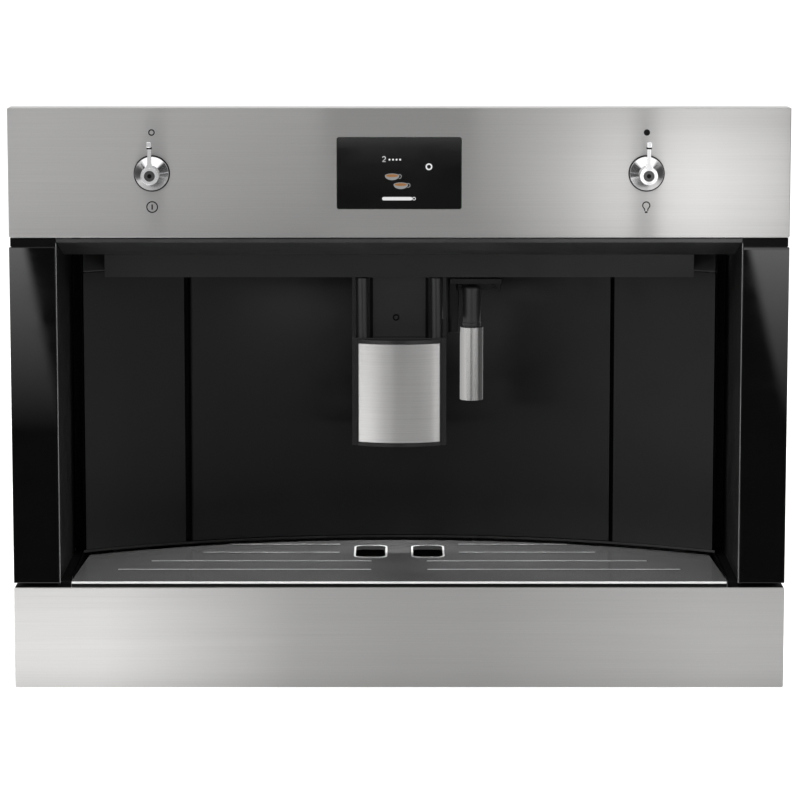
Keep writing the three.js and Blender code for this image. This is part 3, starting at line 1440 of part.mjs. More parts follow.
function addGrinder() {
  const burrLow = GRINDER_BOTTOM + GRINDER_FLOOR + BURR_GAP;
  const motorTop = GRINDER_BOTTOM - FIT;
  const motorBottom = motorTop - MOTOR_LENGTH;
  const shaftEnd = motorTop - BURR_SHAFT_REACH;
  const axis = [GRINDER_X, GRINDER_Y];
  add(
    "grinder_body",
    cut(
      rodZ(...axis, GRINDER_RADIUS, GRINDER_BOTTOM, GRINDER_TOP, 32),
      rodZ(...axis, BURR_RADIUS + BURR_GAP, burrLow - BURR_GAP, GRINDER_TOP + LAP, 32),
      rodZ(...axis, BURR_SHAFT_RADIUS + RUN, GRINDER_BOTTOM - LAP, burrLow, 16),
    ),
    "black",
  );
  add(
    "grinding_burr",
    join(
      rodZ(...axis, BURR_RADIUS, burrLow, burrLow + BURR_HEIGHT, 24, BURR_TIP_RADIUS),
      rodZ(...axis, BURR_SHAFT_RADIUS, shaftEnd, burrLow + LAP, 16),
    ),
    "zinc",
  );
  add(
    "grinder_motor",
    cut(
      join(
        rodZ(...axis, MOTOR_RADIUS, motorBottom, motorTop, 28),
        column(...axis, MOTOR_STAND, ON_SHELF, motorBottom + LAP),
      ),
      rodZ(...axis, BURR_SHAFT_RADIUS + RUN, shaftEnd - LAP, motorTop + LAP, 16),
    ),
    "zinc",
  );

  const outlet = (grow) => [
    GRINDER_X - HOPPER_OUTLET - grow,
    GRINDER_X + HOPPER_OUTLET + grow,
    GRINDER_Y - HOPPER_OUTLET - grow,
    GRINDER_Y + HOPPER_OUTLET + grow,
  ];
  const mouth = (inset) => [
    HOPPER_LEFT + FIT + inset,
    HOPPER_RIGHT - FIT - inset,
    HOPPER_FRONT + FIT + inset,
    HOPPER_REAR - FIT - inset,
  ];
  const throat = DECK_TOP + FIT;
  const shoulder = throat + HOPPER_FUNNEL;
  const outside = join(
    hopperStage(outlet(HOPPER_WALL), throat, mouth(0), shoulder),
    hopperStage(mouth(0), shoulder, mouth(0), CHASSIS_TOP),
    hopperStage(outlet(HOPPER_WALL), DECK_BOTTOM, outlet(HOPPER_WALL), throat),
  );
  const inside = join(
    hopperStage(outlet(0), throat, mouth(HOPPER_WALL), shoulder),
    hopperStage(mouth(HOPPER_WALL), shoulder, mouth(HOPPER_WALL), CHASSIS_TOP + LAP),
    hopperStage(outlet(0), DECK_BOTTOM - LAP, outlet(0), throat),
  );
  add("bean_hopper", cut(outside, inside), "clear");

  add("bean_lid", flapLid(BEAN_LID), "clear");
  add("powder_lid", flapLid(POWDER_LID), "black");

  const dialTop = CHASSIS_TOP + DIAL_RISE;
  const gripReach = DIAL_RADIUS - DIAL_GRIP;
  add(
    "grind_dial",
    join(
      rodZ(DIAL_X, DIAL_Y, DIAL_RADIUS, dialTop - DIAL_HEIGHT, dialTop, 28),
      rodZ(DIAL_X, DIAL_Y, DIAL_SHAFT_RADIUS, DECK_TOP + FIT, dialTop - LAP, 16),
      box(
        DIAL_X - DIAL_GRIP / 2,
        DIAL_X + DIAL_GRIP / 2,
        DIAL_Y - gripReach,
        DIAL_Y + gripReach,
        dialTop - LAP,
        dialTop + DIAL_GRIP,
      ),
    ),
    "black",
  );
}

// A lid with a round rear edge and a pin at each end of it.
function flapLid({ left, right, front, hingeY }) {
  const low = CHASSIS_TOP + FIT;
  return join(
    box(left, right, front, hingeY, low, low + LID_THICKNESS),
    rodX(hingeY, LID_AXIS, LID_THICKNESS / 2, left, right, 16),
    rodX(hingeY, LID_AXIS, LID_PIN_RADIUS, left - LID_EAR, right + LID_EAR, 16),
  );
}

// The two ears on the top cover that hold a lid's pins, and the bore through both.
function flapEars({ left, right, hingeY }) {
  return [left - FIT - LID_EAR, right + FIT].map((x) =>
    box(x, x + LID_EAR, hingeY - LID_EAR, hingeY + LID_EAR, CHASSIS_TOP - LAP, LID_AXIS + LID_EAR),
  );
}

function flapBore({ left, right, hingeY }) {
  const reach = LID_EAR + LAP;
  return rodX(hingeY, LID_AXIS, LID_PIN_RADIUS + RUN, left - reach, right + reach, 16);
}

// ---- Boiler, pump and pipe ----

function addWaterWorks() {
  const boilerRear = BOILER_FRONT + BOILER_LENGTH;
  const saddle = box(
    BOILER_X - BOILER_SADDLE_HALF_WIDTH,
    BOILER_X + BOILER_SADDLE_HALF_WIDTH,
    BOILER_FRONT + BOILER_SADDLE_INSET,
    boilerRear - BOILER_SADDLE_INSET,
    ON_SHELF,
    BOILER_Z,
  );
  const endRadius = BOILER_RADIUS * 0.75;
  add(
    "boiler",
    join(
      turnedY(
        [
          [0, BOILER_FRONT],
          [endRadius, BOILER_FRONT + BOILER_END_EDGE],
          [BOILER_RADIUS, BOILER_FRONT + BOILER_END],
          [BOILER_RADIUS, boilerRear - BOILER_END],
          [endRadius, boilerRear - BOILER_END_EDGE],
          [0, boilerRear],
        ],
        BOILER_X,
        BOILER_Z,
        28,
      ),
      saddle,
    ),
    "steel",
  );

  const pumpRear = PUMP_FRONT + PUMP_LENGTH;
  const coilRear = PUMP_FRONT + PUMP_LENGTH * 0.6;
  add(
    "pump",
    join(
      rodY(PUMP_X, PUMP_Z, PUMP_RADIUS, PUMP_FRONT, coilRear, 24),
      rodY(PUMP_X, PUMP_Z, PUMP_RADIUS / 2, coilRear - LAP, pumpRear, 20),
    ),
    "zinc",
  );

  // The pipe climbs from the boiler's side to the brew unit in one S.
  const pipeY = BREW_Y - PIPE_AHEAD;
  const from = new THREE.Vector3(BOILER_X + BOILER_RADIUS + FIT, pipeY, BOILER_Z);
  const to = new THREE.Vector3(BREW_LEFT - FIT, pipeY, BREW_TOP - PIPE_INSET);
  const middle = (from.x + to.x) / 2;
  const bend = PIPE_STUB * 0.75;
  const rise = to.z - from.z;
  const route = new THREE.CatmullRomCurve3([
    from,
    new THREE.Vector3(from.x + PIPE_STUB, pipeY, from.z),
    new THREE.Vector3(middle - bend, pipeY, from.z + rise * 0.3),
    new THREE.Vector3(middle + bend, pipeY, from.z + rise * 0.7),
    new THREE.Vector3(to.x - PIPE_STUB, pipeY, to.z),
    to,
  ]);
  const ring = new THREE.Shape();
  ring.absarc(0, 0, PIPE_RADIUS, 0, 2 * Math.PI);
  add(
    "coffee_pipe",
    new THREE.ExtrudeGeometry(ring, { steps: 24, curveSegments: 4, extrudePath: route }),
    "copper",
  );
}

// ---- Mains side ----

function addElectrics() {
  const boardRear = BACK_PLATE - BOARD_STAND;
  const right = BOARD_LEFT + BOARD_WIDTH;
  const top = BOARD_BOTTOM + BOARD_HEIGHT;
  const posts = [];
  for (const x of [BOARD_LEFT + BOARD_POST_INSET, right - BOARD_POST_INSET]) {
    for (const z of [BOARD_BOTTOM + BOARD_POST_INSET, top - BOARD_POST_INSET]) {
      posts.push(rodY(x, z, BOARD_POST_RADIUS, boardRear - LAP, BACK_PLATE - FIT, 12));
    }
  }
  const blocks = BOARD_BLOCKS.map(({ x, z, width, height, depth }) =>
    box(
      BOARD_LEFT + x,
      BOARD_LEFT + x + width,
      boardRear - depth,
      boardRear - LAP,
      BOARD_BOTTOM + z,
      BOARD_BOTTOM + z + height,
    ),
  );
  add(
    "power_board",
    join(
      box(BOARD_LEFT, right, boardRear - BOARD_THICKNESS, boardRear, BOARD_BOTTOM, top),
      ...blocks,
      ...posts,
    ),
    "board",
  );

  const lip = CHASSIS_DEPTH + FIT;
  const inletFloor = lip - INLET_DEPTH + INLET_WALL;
  const inletBox = (grow, low, high) =>
    box(
      INLET_X - INLET_HALF_WIDTH - grow,
      INLET_X + INLET_HALF_WIDTH + grow,
      low,
      high,
      INLET_HEIGHT - INLET_HALF_HEIGHT - grow,
      INLET_HEIGHT + INLET_HALF_HEIGHT + grow,
    );
  const pins = [
    [INLET_X - INLET_PIN_PITCH, INLET_HEIGHT + INLET_PIN_RISE],
    [INLET_X, INLET_HEIGHT + INLET_EARTH_RISE],
    [INLET_X + INLET_PIN_PITCH, INLET_HEIGHT + INLET_PIN_RISE],
  ].map(([x, z]) =>
    box(
      x - INLET_PIN_HALF_WIDTH,
      x + INLET_PIN_HALF_WIDTH,
      inletFloor - LAP,
      inletFloor + INLET_PIN_LENGTH,
      z - INLET_PIN_HALF_HEIGHT,
      z + INLET_PIN_HALF_HEIGHT,
    ),
  );
  add(
    "power_inlet",
    join(
      cut(
        join(
          inletBox(-FIT, lip - INLET_DEPTH, lip + LAP),
          inletBox(INLET_FLANGE, lip, lip + INLET_WALL),
        ),
        inletBox(-INLET_WALL, inletFloor, lip + INLET_WALL + LAP),
      ),
      ...pins,
    ),
    "black",
  );

  // A rocker on its own axle, at its off stop, its upper half standing out.
  const inner = SWITCH_AXIS - SWITCH_DEPTH * 0.75;
  const innerHalf = SWITCH_HALF_HEIGHT / 2;
  const rocker = outline([
    [inner, SWITCH_HEIGHT - innerHalf],
    [CHASSIS_DEPTH - SWITCH_BULGE, SWITCH_HEIGHT - SWITCH_HALF_HEIGHT],
    [CHASSIS_DEPTH + SWITCH_BULGE, SWITCH_HEIGHT],
    [CHASSIS_DEPTH + 3 * SWITCH_BULGE, SWITCH_HEIGHT + SWITCH_HALF_HEIGHT],
    [inner, SWITCH_HEIGHT + innerHalf],
  ]);
  const axleReach = SWITCH_HALF_WIDTH + SHEET;
  add(
    "main_switch",
    join(
      alongX(rocker, SWITCH_X - SWITCH_HALF_WIDTH, SWITCH_X + SWITCH_HALF_WIDTH),
      rodX(SWITCH_AXIS, SWITCH_HEIGHT, SWITCH_PIN_RADIUS, SWITCH_X - axleReach, SWITCH_X + axleReach, 16),
    ),
    "black",
  );
}

addRails();
addChassis();
addFront();
addControls();
addHead();
add(
  "recess_panel_left",
  curvedPanel(-BACK_HALF_WIDTH, -SEAM_X - PANEL_SEAM / 2, ON_SHELF, PANEL_TOP),
  "black",
);
addServiceDoor();
addSpout();
addNozzle();
addDrawer();
addTank();
addBrewUnit();
addGrinder();
addWaterWorks();
addElectrics();

export default machine;
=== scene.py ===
"""Looks of a built-in coffee machine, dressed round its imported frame.

Lengths here are millimetres until a mesh is made; the frame and Blender hold metres.  +X points to
the viewer's right, +Y into the niche and +Z up, so the steel front faces -Y.
"""
import json
import logging
import math
from dataclasses import dataclass, field
from enum import Enum
from typing import Iterable, Sequence

import bmesh
import bpy
import numpy as np
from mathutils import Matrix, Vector

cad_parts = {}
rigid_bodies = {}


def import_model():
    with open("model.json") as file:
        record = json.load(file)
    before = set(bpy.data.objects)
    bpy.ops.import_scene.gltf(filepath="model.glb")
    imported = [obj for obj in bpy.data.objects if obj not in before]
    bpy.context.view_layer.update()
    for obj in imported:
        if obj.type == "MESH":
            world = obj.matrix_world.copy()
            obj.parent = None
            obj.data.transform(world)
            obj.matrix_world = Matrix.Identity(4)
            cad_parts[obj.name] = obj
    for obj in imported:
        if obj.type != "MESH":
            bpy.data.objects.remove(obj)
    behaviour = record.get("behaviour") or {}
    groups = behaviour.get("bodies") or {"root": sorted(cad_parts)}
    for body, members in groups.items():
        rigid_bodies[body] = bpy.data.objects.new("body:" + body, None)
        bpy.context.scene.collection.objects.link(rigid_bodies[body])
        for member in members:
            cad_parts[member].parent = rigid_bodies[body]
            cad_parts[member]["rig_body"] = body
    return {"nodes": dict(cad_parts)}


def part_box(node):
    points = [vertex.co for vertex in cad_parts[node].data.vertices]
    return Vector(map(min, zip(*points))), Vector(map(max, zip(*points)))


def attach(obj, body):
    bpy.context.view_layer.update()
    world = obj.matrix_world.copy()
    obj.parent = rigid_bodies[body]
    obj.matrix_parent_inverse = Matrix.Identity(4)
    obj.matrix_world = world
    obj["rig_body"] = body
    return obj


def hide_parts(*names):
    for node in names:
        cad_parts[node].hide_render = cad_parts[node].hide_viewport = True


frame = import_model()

LOG = logging.getLogger("coffee_machine")
MM = 0.001
QUARTER = math.pi / 2
TURN = 2 * math.pi
Array = np.ndarray
Colour = tuple[float, float, float]
Outline = Array
Span = tuple[float, float]
Socket = bpy.types.NodeSocket


# ---------------------------------------------------------------- surfaces


class Plane(Enum):
    """The plane that an outline lies in; its depth runs along the axis that is left."""

    FRONT = (0, 2, 1)
    TOP = (0, 1, 2)


@dataclass
class Shell:
    """One closed surface: its points and the faces that join them."""

    points: Array
    faces: list[list[int]]


def loft(loops: Array, wrap: bool = False) -> Shell:
    """Carries a closed loop through space.

    Point (i, j) of the grid is point j of loop i, and j runs round, so each face joins (i, j),
    (i, j + 1), (i + 1, j + 1) and (i + 1, j).

    Args:
        loops: loops x points x 3 places.
        wrap: join the last loop to the first, as on a ring, in place of a flat face at both ends.

    Returns:
        The closed shell.
    """
    count, points, _ = loops.shape
    index = np.arange(count * points).reshape(count, points)
    rows = np.vstack([index, index[:1]]) if wrap else index
    low, high = rows[:-1], rows[1:]
    quads = np.stack([low, np.roll(low, -1, 1), np.roll(high, -1, 1), high], -1)
    faces = quads.reshape(-1, 4).tolist()
    if not wrap:
        faces += [index[0, ::-1].tolist(), index[-1].tolist()]
    return Shell(loops.reshape(-1, 3), faces)


def rounded_rectangle(low: Sequence[float], high: Sequence[float], radius: float, steps: int = 5) -> Outline:
    """A rectangle whose corners are quarter circles.

    Corner k has its centre inside its corner by the radius, and its angle runs a quarter turn on
    from k quarter turns.
    """
    angle = np.linspace(0, QUARTER, steps + 1)[None, :] + QUARTER * np.arange(4)[:, None]
    middle_u = np.array([high[0] - radius, low[0] + radius, low[0] + radius, high[0] - radius])
    middle_v = np.array([high[1] - radius, high[1] - radius, low[1] + radius, low[1] + radius])
    u = middle_u[:, None] + radius * np.cos(angle)
    v = middle_v[:, None] + radius * np.sin(angle)
    return np.stack([u, v], -1).reshape(-1, 2)


def circle(centre: Sequence[float], radius: float, steps: int = 48) -> Outline:
    """A circle: the centre plus the radius times the cosine and sine of the angle."""
    angle = np.linspace(0, TURN, steps, endpoint=False)
    return np.stack([centre[0] + radius * np.cos(angle), centre[1] + radius * np.sin(angle)], -1)


def inset(outline: Outline, distance: float) -> Outline:
    """Moves an outline inwards, square to its sides.

    Each corner moves by the distance times the sum of its two sides' inward normals over one plus
    their dot product, which keeps the sides parallel.
    """
    along = np.roll(outline, -1, 0) - outline
    along /= np.linalg.norm(along, axis=1, keepdims=True)
    after = np.stack([-along[:, 1], along[:, 0]], -1)
    before = np.roll(after, 1, 0)
    share = 1 + (before * after).sum(1, keepdims=True)
    return outline + distance * (before + after) / share


def lay(outline: Outline, depth: float | Array, plane: Plane) -> Array:
    """Puts an outline into space, at a depth along the plane's own axis."""
    out = np.zeros((len(outline), 3))
    first, second, third = plane.value
    out[:, first], out[:, second], out[:, third] = outline[:, 0], outline[:, 1], depth
    return out


def slab(outline: Outline, low: float, high: float, plane: Plane, rim: float = 0.4, steps: int = 4) -> Shell:
    """A plate with quarter-round rims at both faces.

    Round a rim the angle runs a quarter turn: the outline is inset by the rim times one minus the
    angle's sine, and lies behind the face by the rim times one minus its cosine.
    """
    angle = np.linspace(0, QUARTER, steps + 1)
    shrink = rim * (1 - np.sin(angle))
    sink = rim * (1 - np.cos(angle))
    loops = [lay(inset(outline, s), low + d, plane) for s, d in zip(shrink, sink)]
    loops += [lay(inset(outline, s), high - d, plane) for s, d in zip(shrink[::-1], sink[::-1])]
    return loft(np.array(loops))


def ring(inner: Outline, outer: Outline, low: float, high: float, plane: Plane, rim: float = 0.05) -> Shell:
    """A flat ring between two outlines of as many points, with a small chamfer at each edge."""
    loops = [
        lay(outer, low + rim, plane),
        lay(inset(outer, rim), low, plane),
        lay(inset(inner, -rim), low, plane),
        lay(inner, low + rim, plane),
        lay(inner, high, plane),
        lay(outer, high, plane),
    ]
    return loft(np.array(loops), wrap=True)


def bar(x: Span, y: Span, z: Span, corner: float, rim: float, steps: int = 2) -> Shell:
    """A bar between its spans along X, Y and Z, with rounded upright edges.

    Args:
        x: where it starts and ends across.
        y: its front and back.
        z: its lower and upper end.
        corner: radius of its upright edges.
        rim: radius of the edges round its ends.
        steps: faces round each upright edge.

    Returns:
        The closed bar.
    """
    plan = rounded_rectangle((x[0], y[0]), (x[1], y[1]), corner, steps)
    return slab(plan, *z, Plane.TOP, rim=rim)


def both_sides(x: Span, y: Span, z: Span, corner: float, rim: float, steps: int = 2) -> list[Shell]:
    """The bar of these spans on the right, and its mirror image on the left."""
    return [bar(across, y, z, corner, rim, steps) for across in ((-x[1], -x[0]), x)]


def turned(
    profile: Sequence[Sequence[float]], centre: Sequence[float], plane: Plane, steps: int = 64
) -> Shell:
    """Turns a profile about a straight axis.

    Each stop of the profile is a radius and a depth; its loop is the circle of that radius in the
    plane, at that depth along the axis.
    """
    loops = [lay(circle(centre, max(radius, 1e-4), steps), depth, plane) for radius, depth in profile]
    return loft(np.array(loops))


def turned_ring(
    profile: Sequence[Sequence[float]], centre: Sequence[float], plane: Plane, steps: int = 64
) -> Shell:
    """Turns a closed profile that stays off the axis, as for a tube."""
    loops = [lay(circle(centre, radius, steps), depth, plane) for radius, depth in profile]
    return loft(np.array(loops), wrap=True)


def arc(centre: Sequence[float], radius: float, start: float, end: float, steps: int = 24) -> Array:
    """Points on an arc, with its angles in degrees."""
    angle = np.radians(np.linspace(start, end, steps))
    return np.stack([centre[0] + radius * np.cos(angle), centre[1] + radius * np.sin(angle)], -1)


def fillet_profile(
    radius: float, depth: float, rim: float, inwards: float, steps: int = 5
) -> list[list[float]]:
    """Stops of a quarter-round edge at a radius and depth: it leaves the face and ends on the side.

    The radius is the full radius less the rim times one minus the angle's sine, and the depth moves
    inwards by the rim times one minus its cosine.
    """
    angle = np.linspace(0, QUARTER, steps)
    return [[radius - rim * (1 - math.sin(a)), depth + inwards * rim * (1 - math.cos(a))] for a in angle]


# ---------------------------------------------------------------- materials


class Wiring:
    """A node tree, with short calls that add and join its nodes."""

    def __init__(self, tree: bpy.types.NodeTree) -> None:
        """Empties the tree.

        Args:
            tree: a material's or the world's node tree.
        """
        self.tree = tree
        self.tree.nodes.clear()

    def add(self, kind: str, **values: object) -> bpy.types.Node:
        """Adds a node and sets its properties or, by their names with spaces, its sockets."""
        node = self.tree.nodes.new(kind)
        for name, value in values.items():
            if hasattr(node, name):
                setattr(node, name, value)
            else:
                node.inputs[name.replace("_", " ")].default_value = value
        return node

    def join(self, source: Socket, target: Socket) -> None:
        """Links one socket to another."""
        self.tree.links.new(source, target)

    def math(self, operation: str, *terms: Socket | float) -> Socket:
        """The result of a sum or comparison of sockets and numbers."""
        node = self.add("ShaderNodeMath", operation=operation)
        for term, socket in zip(terms, node.inputs):
            if isinstance(term, Socket):
                self.join(term, socket)
            else:
                socket.default_value = term
        return node.outputs[0]

    def spread(self, source: Socket, low: float, high: float, start: float = 0.3, end: float = 0.7) -> Socket:
        """Maps a pattern from start and end to low and high, and holds it there."""
        node = self.add("ShaderNodeMapRange")
        for name, value in (("From Min", start), ("From Max", end), ("To Min", low), ("To Max", high)):
            node.inputs[name].default_value = value
        self.join(source, node.inputs["Value"])
        return node.outputs[0]

    def mix(self, share: Socket, first: Socket | float, second: Socket | float) -> Socket:
        """A number between two others: the first at share 0 and the second at share 1."""
        rest = self.math("MULTIPLY", self.math("SUBTRACT", 1.0, share), first)
        return self.math("ADD", self.math("MULTIPLY", share, second), rest)

    def rays(self, *kinds: str) -> Socket:
        """1 for a ray of one of these kinds, by the names of the light path's outputs, and else 0."""
        path = self.add("ShaderNodeLightPath").outputs
        seen = path[kinds[0]]
        for kind in kinds[1:]:
            seen = self.math("MAXIMUM", seen, path[kind])
        return seen

    def ramp(self, source: Socket, low: float, high: float, stops: Sequence[Span]) -> Socket:
        """A number that runs straight from stop to stop.

        Args:
            source: the number to look up.
            low: where the ramp starts.
            high: where the ramp ends.
            stops: places between low and high, each with its value.

        Returns:
            The value at the source.
        """
        peak = max(value for _, value in stops)
        node = self.add("ShaderNodeValToRGB")
        self.join(self.spread(source, 0.0, 1.0, low, high), node.inputs[0])
        elements = node.color_ramp.elements
        while len(elements) < len(stops):
            elements.new(0.5)
        for element, (place, _) in zip(elements, stops):
            element.position = (place - low) / (high - low)
        for element, (_, value) in zip(elements, stops):
            element.color = (*grey(value / peak), 1)
        return self.math("MULTIPLY", node.outputs[0], peak)


class Sheet(Wiring):
    """A material's node tree."""

    def __init__(self, name: str) -> None:
        """Starts an empty tree with a surface shader and a pattern place.

        Args:
            name: the material's name.
        """
        self.material = bpy.data.materials.new(name)
        self.material.use_nodes = True
        super().__init__(self.material.node_tree)
        self.surface = self.add("ShaderNodeBsdfPrincipled")
        self.output = self.add("ShaderNodeOutputMaterial")
        self.join(self.surface.outputs[0], self.output.inputs[0])
        self.place = self.add("ShaderNodeTexCoord").outputs["Object"]

    def set(self, **values: object) -> None:
        """Sets sockets of the surface shader by their names."""
        for name, value in values.items():
            self.surface.inputs[name.replace("_", " ")].default_value = value

    def stretched(self, scale: Sequence[float]) -> Socket:
        """The pattern place, scaled by its own number along each axis."""
        mapping = self.add("ShaderNodeMapping")
        mapping.inputs["Scale"].default_value = scale
        self.join(self.place, mapping.inputs["Vector"])
        return mapping.outputs[0]

    def noise(self, scale: Sequence[float], detail: float = 2.0, roughness: float = 0.5) -> Socket:
        """Cloudy noise whose grains are one over the scale long, in metres, along each axis."""
        node = self.add("ShaderNodeTexNoise", Scale=1.0, Detail=detail, Roughness=roughness)
        self.join(self.stretched(scale), node.inputs["Vector"])
        return node.outputs["Fac"]

    def cells(self, scale: float) -> Socket:
        """Crystal-like cells, one over the scale wide."""
        node = self.add("ShaderNodeTexVoronoi", Scale=scale)
        self.join(self.place, node.inputs["Vector"])
        return node.outputs["Color"]

    def blend(self, share: Socket, first: Colour, second: Colour) -> Socket:
        """Mixes two colours by a pattern."""
        node = self.add("ShaderNodeMix", data_type="RGBA")
        for socket in node.inputs:
            if socket.type == "RGBA":
                socket.default_value = (*(first if socket.name == "A" else second), 1)
        self.join(share, node.inputs["Factor"])
        return next(out for out in node.outputs if out.type == "RGBA")

    def colour(self, share: Socket, first: Colour, second: Colour) -> None:
        """Mixes the base colour from two colours by a pattern."""
        self.join(self.blend(share, first, second), self.surface.inputs["Base Color"])

    def roughen(self, source: Socket, low: float, high: float) -> None:
        """Varies the roughness between two values by a pattern."""
        self.join(self.spread(source, low, high), self.surface.inputs["Roughness"])

    def emboss(self, source: Socket, strength: float, depth: float) -> None:
        """Raises the surface by a pattern, up to a depth in millimetres, over what is raised already."""
        node = self.add("ShaderNodeBump", Strength=strength, Distance=depth * MM)
        self.join(source, node.inputs["Height"])
        normal = self.surface.inputs["Normal"]
        if normal.is_linked:
            self.join(normal.links[0].from_socket, node.inputs["Normal"])
        self.join(node.outputs[0], normal)


def grey(value: float, warmth: float = 0.0) -> Colour:
    """A grey of that linear value, a little warmer with more warmth."""
    return (value * (1 + warmth), value, value * (1 - warmth))


class Grain(Enum):
    """The way the brush ran over a steel surface: the noise scale along each axis, per metre."""

    ALONG_X = (9.0, 60.0, 3600.0)
    ALONG_Y = (3600.0, 9.0, 3600.0)
    ALONG_Z = (3600.0, 3600.0, 1.5)


@dataclass(frozen=True)
class Finish:
    """A finish: its name, its two colours and the span of its roughness."""

    name: str
    light: Colour
    dark: Colour
    smooth: float
    rough: float

    def material(self) -> bpy.types.Material:
        """The finished material, made once and then shared."""
        known = bpy.data.materials.get(self.name)
        if known:
            return known
        sheet = Sheet(self.name)
        self.draw(sheet)
        return sheet.material

    def draw(self, sheet: Sheet) -> None:
        """Draws the nodes of this finish on an empty sheet."""
        raise NotImplementedError


@dataclass(frozen=True)
class BrushedSteel(Finish):
    """Stainless sheet with fine parallel brush lines, which spread its highlights across them."""

    grain: Grain = Grain.ALONG_X
    anisotropy: float = 1.0

    def draw(self, sheet: Sheet) -> None:
        """Fine and coarse streaks colour it, roughen it and groove it along the brush."""
        coarse_scale = tuple(value * 0.3 for value in self.grain.value)
        fine = sheet.noise(self.grain.value, detail=4.0, roughness=0.7)
        coarse = sheet.noise(coarse_scale, detail=2.0)
        sheet.colour(sheet.spread(fine, 0, 1, 0.25, 0.75), self.dark, self.light)
        sheet.roughen(coarse, self.smooth, self.rough)
        sheet.emboss(coarse, 0.06, 0.012)
        sheet.emboss(fine, 0.18, 0.01)
        sheet.set(Metallic=1.0, Anisotropic=self.anisotropy)
        if self.anisotropy:
            tangent = sheet.add("ShaderNodeTangent", direction_type="UV_MAP", uv_map="grain")
            sheet.join(tangent.outputs[0], sheet.surface.inputs["Tangent"])


@dataclass(frozen=True)
class PolishedMetal(Finish):
    """Bright plated or drawn metal with faint polishing marks."""

    def draw(self, sheet: Sheet) -> None:
        """Soft clouds vary the gloss and colour, and hair-fine marks break the mirror."""
        clouds = sheet.noise((90, 90, 90), detail=3)
        marks = sheet.noise((1500, 400, 1500), detail=3, roughness=0.7)
        sheet.colour(clouds, self.dark, self.light)
        sheet.roughen(clouds, self.smooth, self.rough)
        sheet.emboss(marks, 0.05, 0.004)
        sheet.set(Metallic=1.0)


@dataclass(frozen=True)
class ZincSheet(Finish):
    """Galvanised sheet with its spangle of crystals and rolling marks."""

    def draw(self, sheet: Sheet) -> None:
        """Cells of two sizes colour it, and rolling streaks vary the gloss."""
        spangle = sheet.cells(140)
        small = sheet.cells(420)
        streaks = sheet.noise((12, 500, 500), detail=3)
        tone = sheet.add("ShaderNodeMix", data_type="FLOAT")
        tone.inputs["Factor"].default_value = 0.4
        sheet.join(spangle, tone.inputs["A"])
        sheet.join(small, tone.inputs["B"])
        mixed = tone.outputs[0]
        sheet.colour(sheet.spread(mixed, 0, 1, 0.1, 0.9), self.dark, self.light)
        sheet.roughen(streaks, self.smooth, self.rough)
        sheet.emboss(mixed, 0.06, 0.02)
        sheet.set(Metallic=1.0)


@dataclass(frozen=True)
class MouldedPlastic(Finish):
    """Moulded plastic with the fine spark-eroded texture of its tool."""

    grain: float = 0.3
    relief: float = 0.12
    reflectance: float = 0.5

    def draw(self, sheet: Sheet) -> None:
        """Millimetre-fine grains raise it, and slow clouds vary colour and gloss."""
        rate = 1 / (self.grain * MM)
        grains = sheet.noise((rate, rate, rate), detail=2, roughness=0.6)
        clouds = sheet.noise((35, 35, 35), detail=3)
        sheet.colour(sheet.spread(clouds, 0, 1), self.dark, self.light)
        sheet.roughen(clouds, self.smooth, self.rough)
        sheet.emboss(grains, self.relief, 0.03)
        sheet.set(Specular_IOR_Level=self.reflectance)


@dataclass(frozen=True)
class DarkGlass(Finish):
    """Black back-printed glass with the faintest wipe marks."""

    index: float = 1.5

    def draw(self, sheet: Sheet) -> None:
        """Long faint wipe marks vary the gloss, and a slow wave bends the mirror."""
        wipes = sheet.noise((14, 60, 45), detail=4, roughness=0.6)
        wave = sheet.noise((7, 7, 7), detail=1)
        sheet.colour(sheet.spread(wipes, 0, 1), self.dark, self.light)
        sheet.roughen(wipes, self.smooth, self.rough)
        sheet.emboss(wave, 0.15, 0.06)
        sheet.set(IOR=self.index)


@dataclass(frozen=True)
class ClearPlastic(Finish):
    """Smoked clear plastic, slightly uneven from moulding."""

    def draw(self, sheet: Sheet) -> None:
        """Flow marks vary the gloss and bend what shows through."""
        flow = sheet.noise((18, 18, 6), detail=2)
        sheet.colour(sheet.spread(flow, 0, 1), self.dark, self.light)
        sheet.roughen(flow, self.smooth, self.rough)
        sheet.emboss(flow, 0.2, 0.1)
        sheet.set(Transmission_Weight=0.85, IOR=1.45)


@dataclass(frozen=True)
class CircuitBoard(Finish):
    """Solder-masked board with copper tracks under the green."""

    def draw(self, sheet: Sheet) -> None:
        """Tracks are the edges of square cells, slightly raised and lighter."""
        node = sheet.add("ShaderNodeTexVoronoi", distance="MANHATTAN", feature="DISTANCE_TO_EDGE", Scale=160)
        sheet.join(sheet.place, node.inputs["Vector"])
        tracks = sheet.spread(node.outputs[0], 1, 0, 0.02, 0.08)
        sheet.colour(tracks, self.dark, self.light)
        sheet.roughen(tracks, self.smooth, self.rough)
        sheet.emboss(tracks, 0.3, 0.05)


@dataclass(frozen=True)
class Glow(Finish):
    """A lit part of the display, made of fine pixels."""

    strength: float = 0.9

    def draw(self, sheet: Sheet) -> None:
        """A pixel grid a fifth of a millimetre fine dims the light at its gaps."""
        grid = sheet.noise((5000, 5000, 5000), detail=0)
        light = sheet.blend(sheet.spread(grid, 0, 1), self.dark, self.light)
        sheet.join(light, sheet.surface.inputs["Emission Color"])
        sheet.set(Base_Color=(0, 0, 0, 1), Emission_Strength=self.strength, Roughness=self.rough)


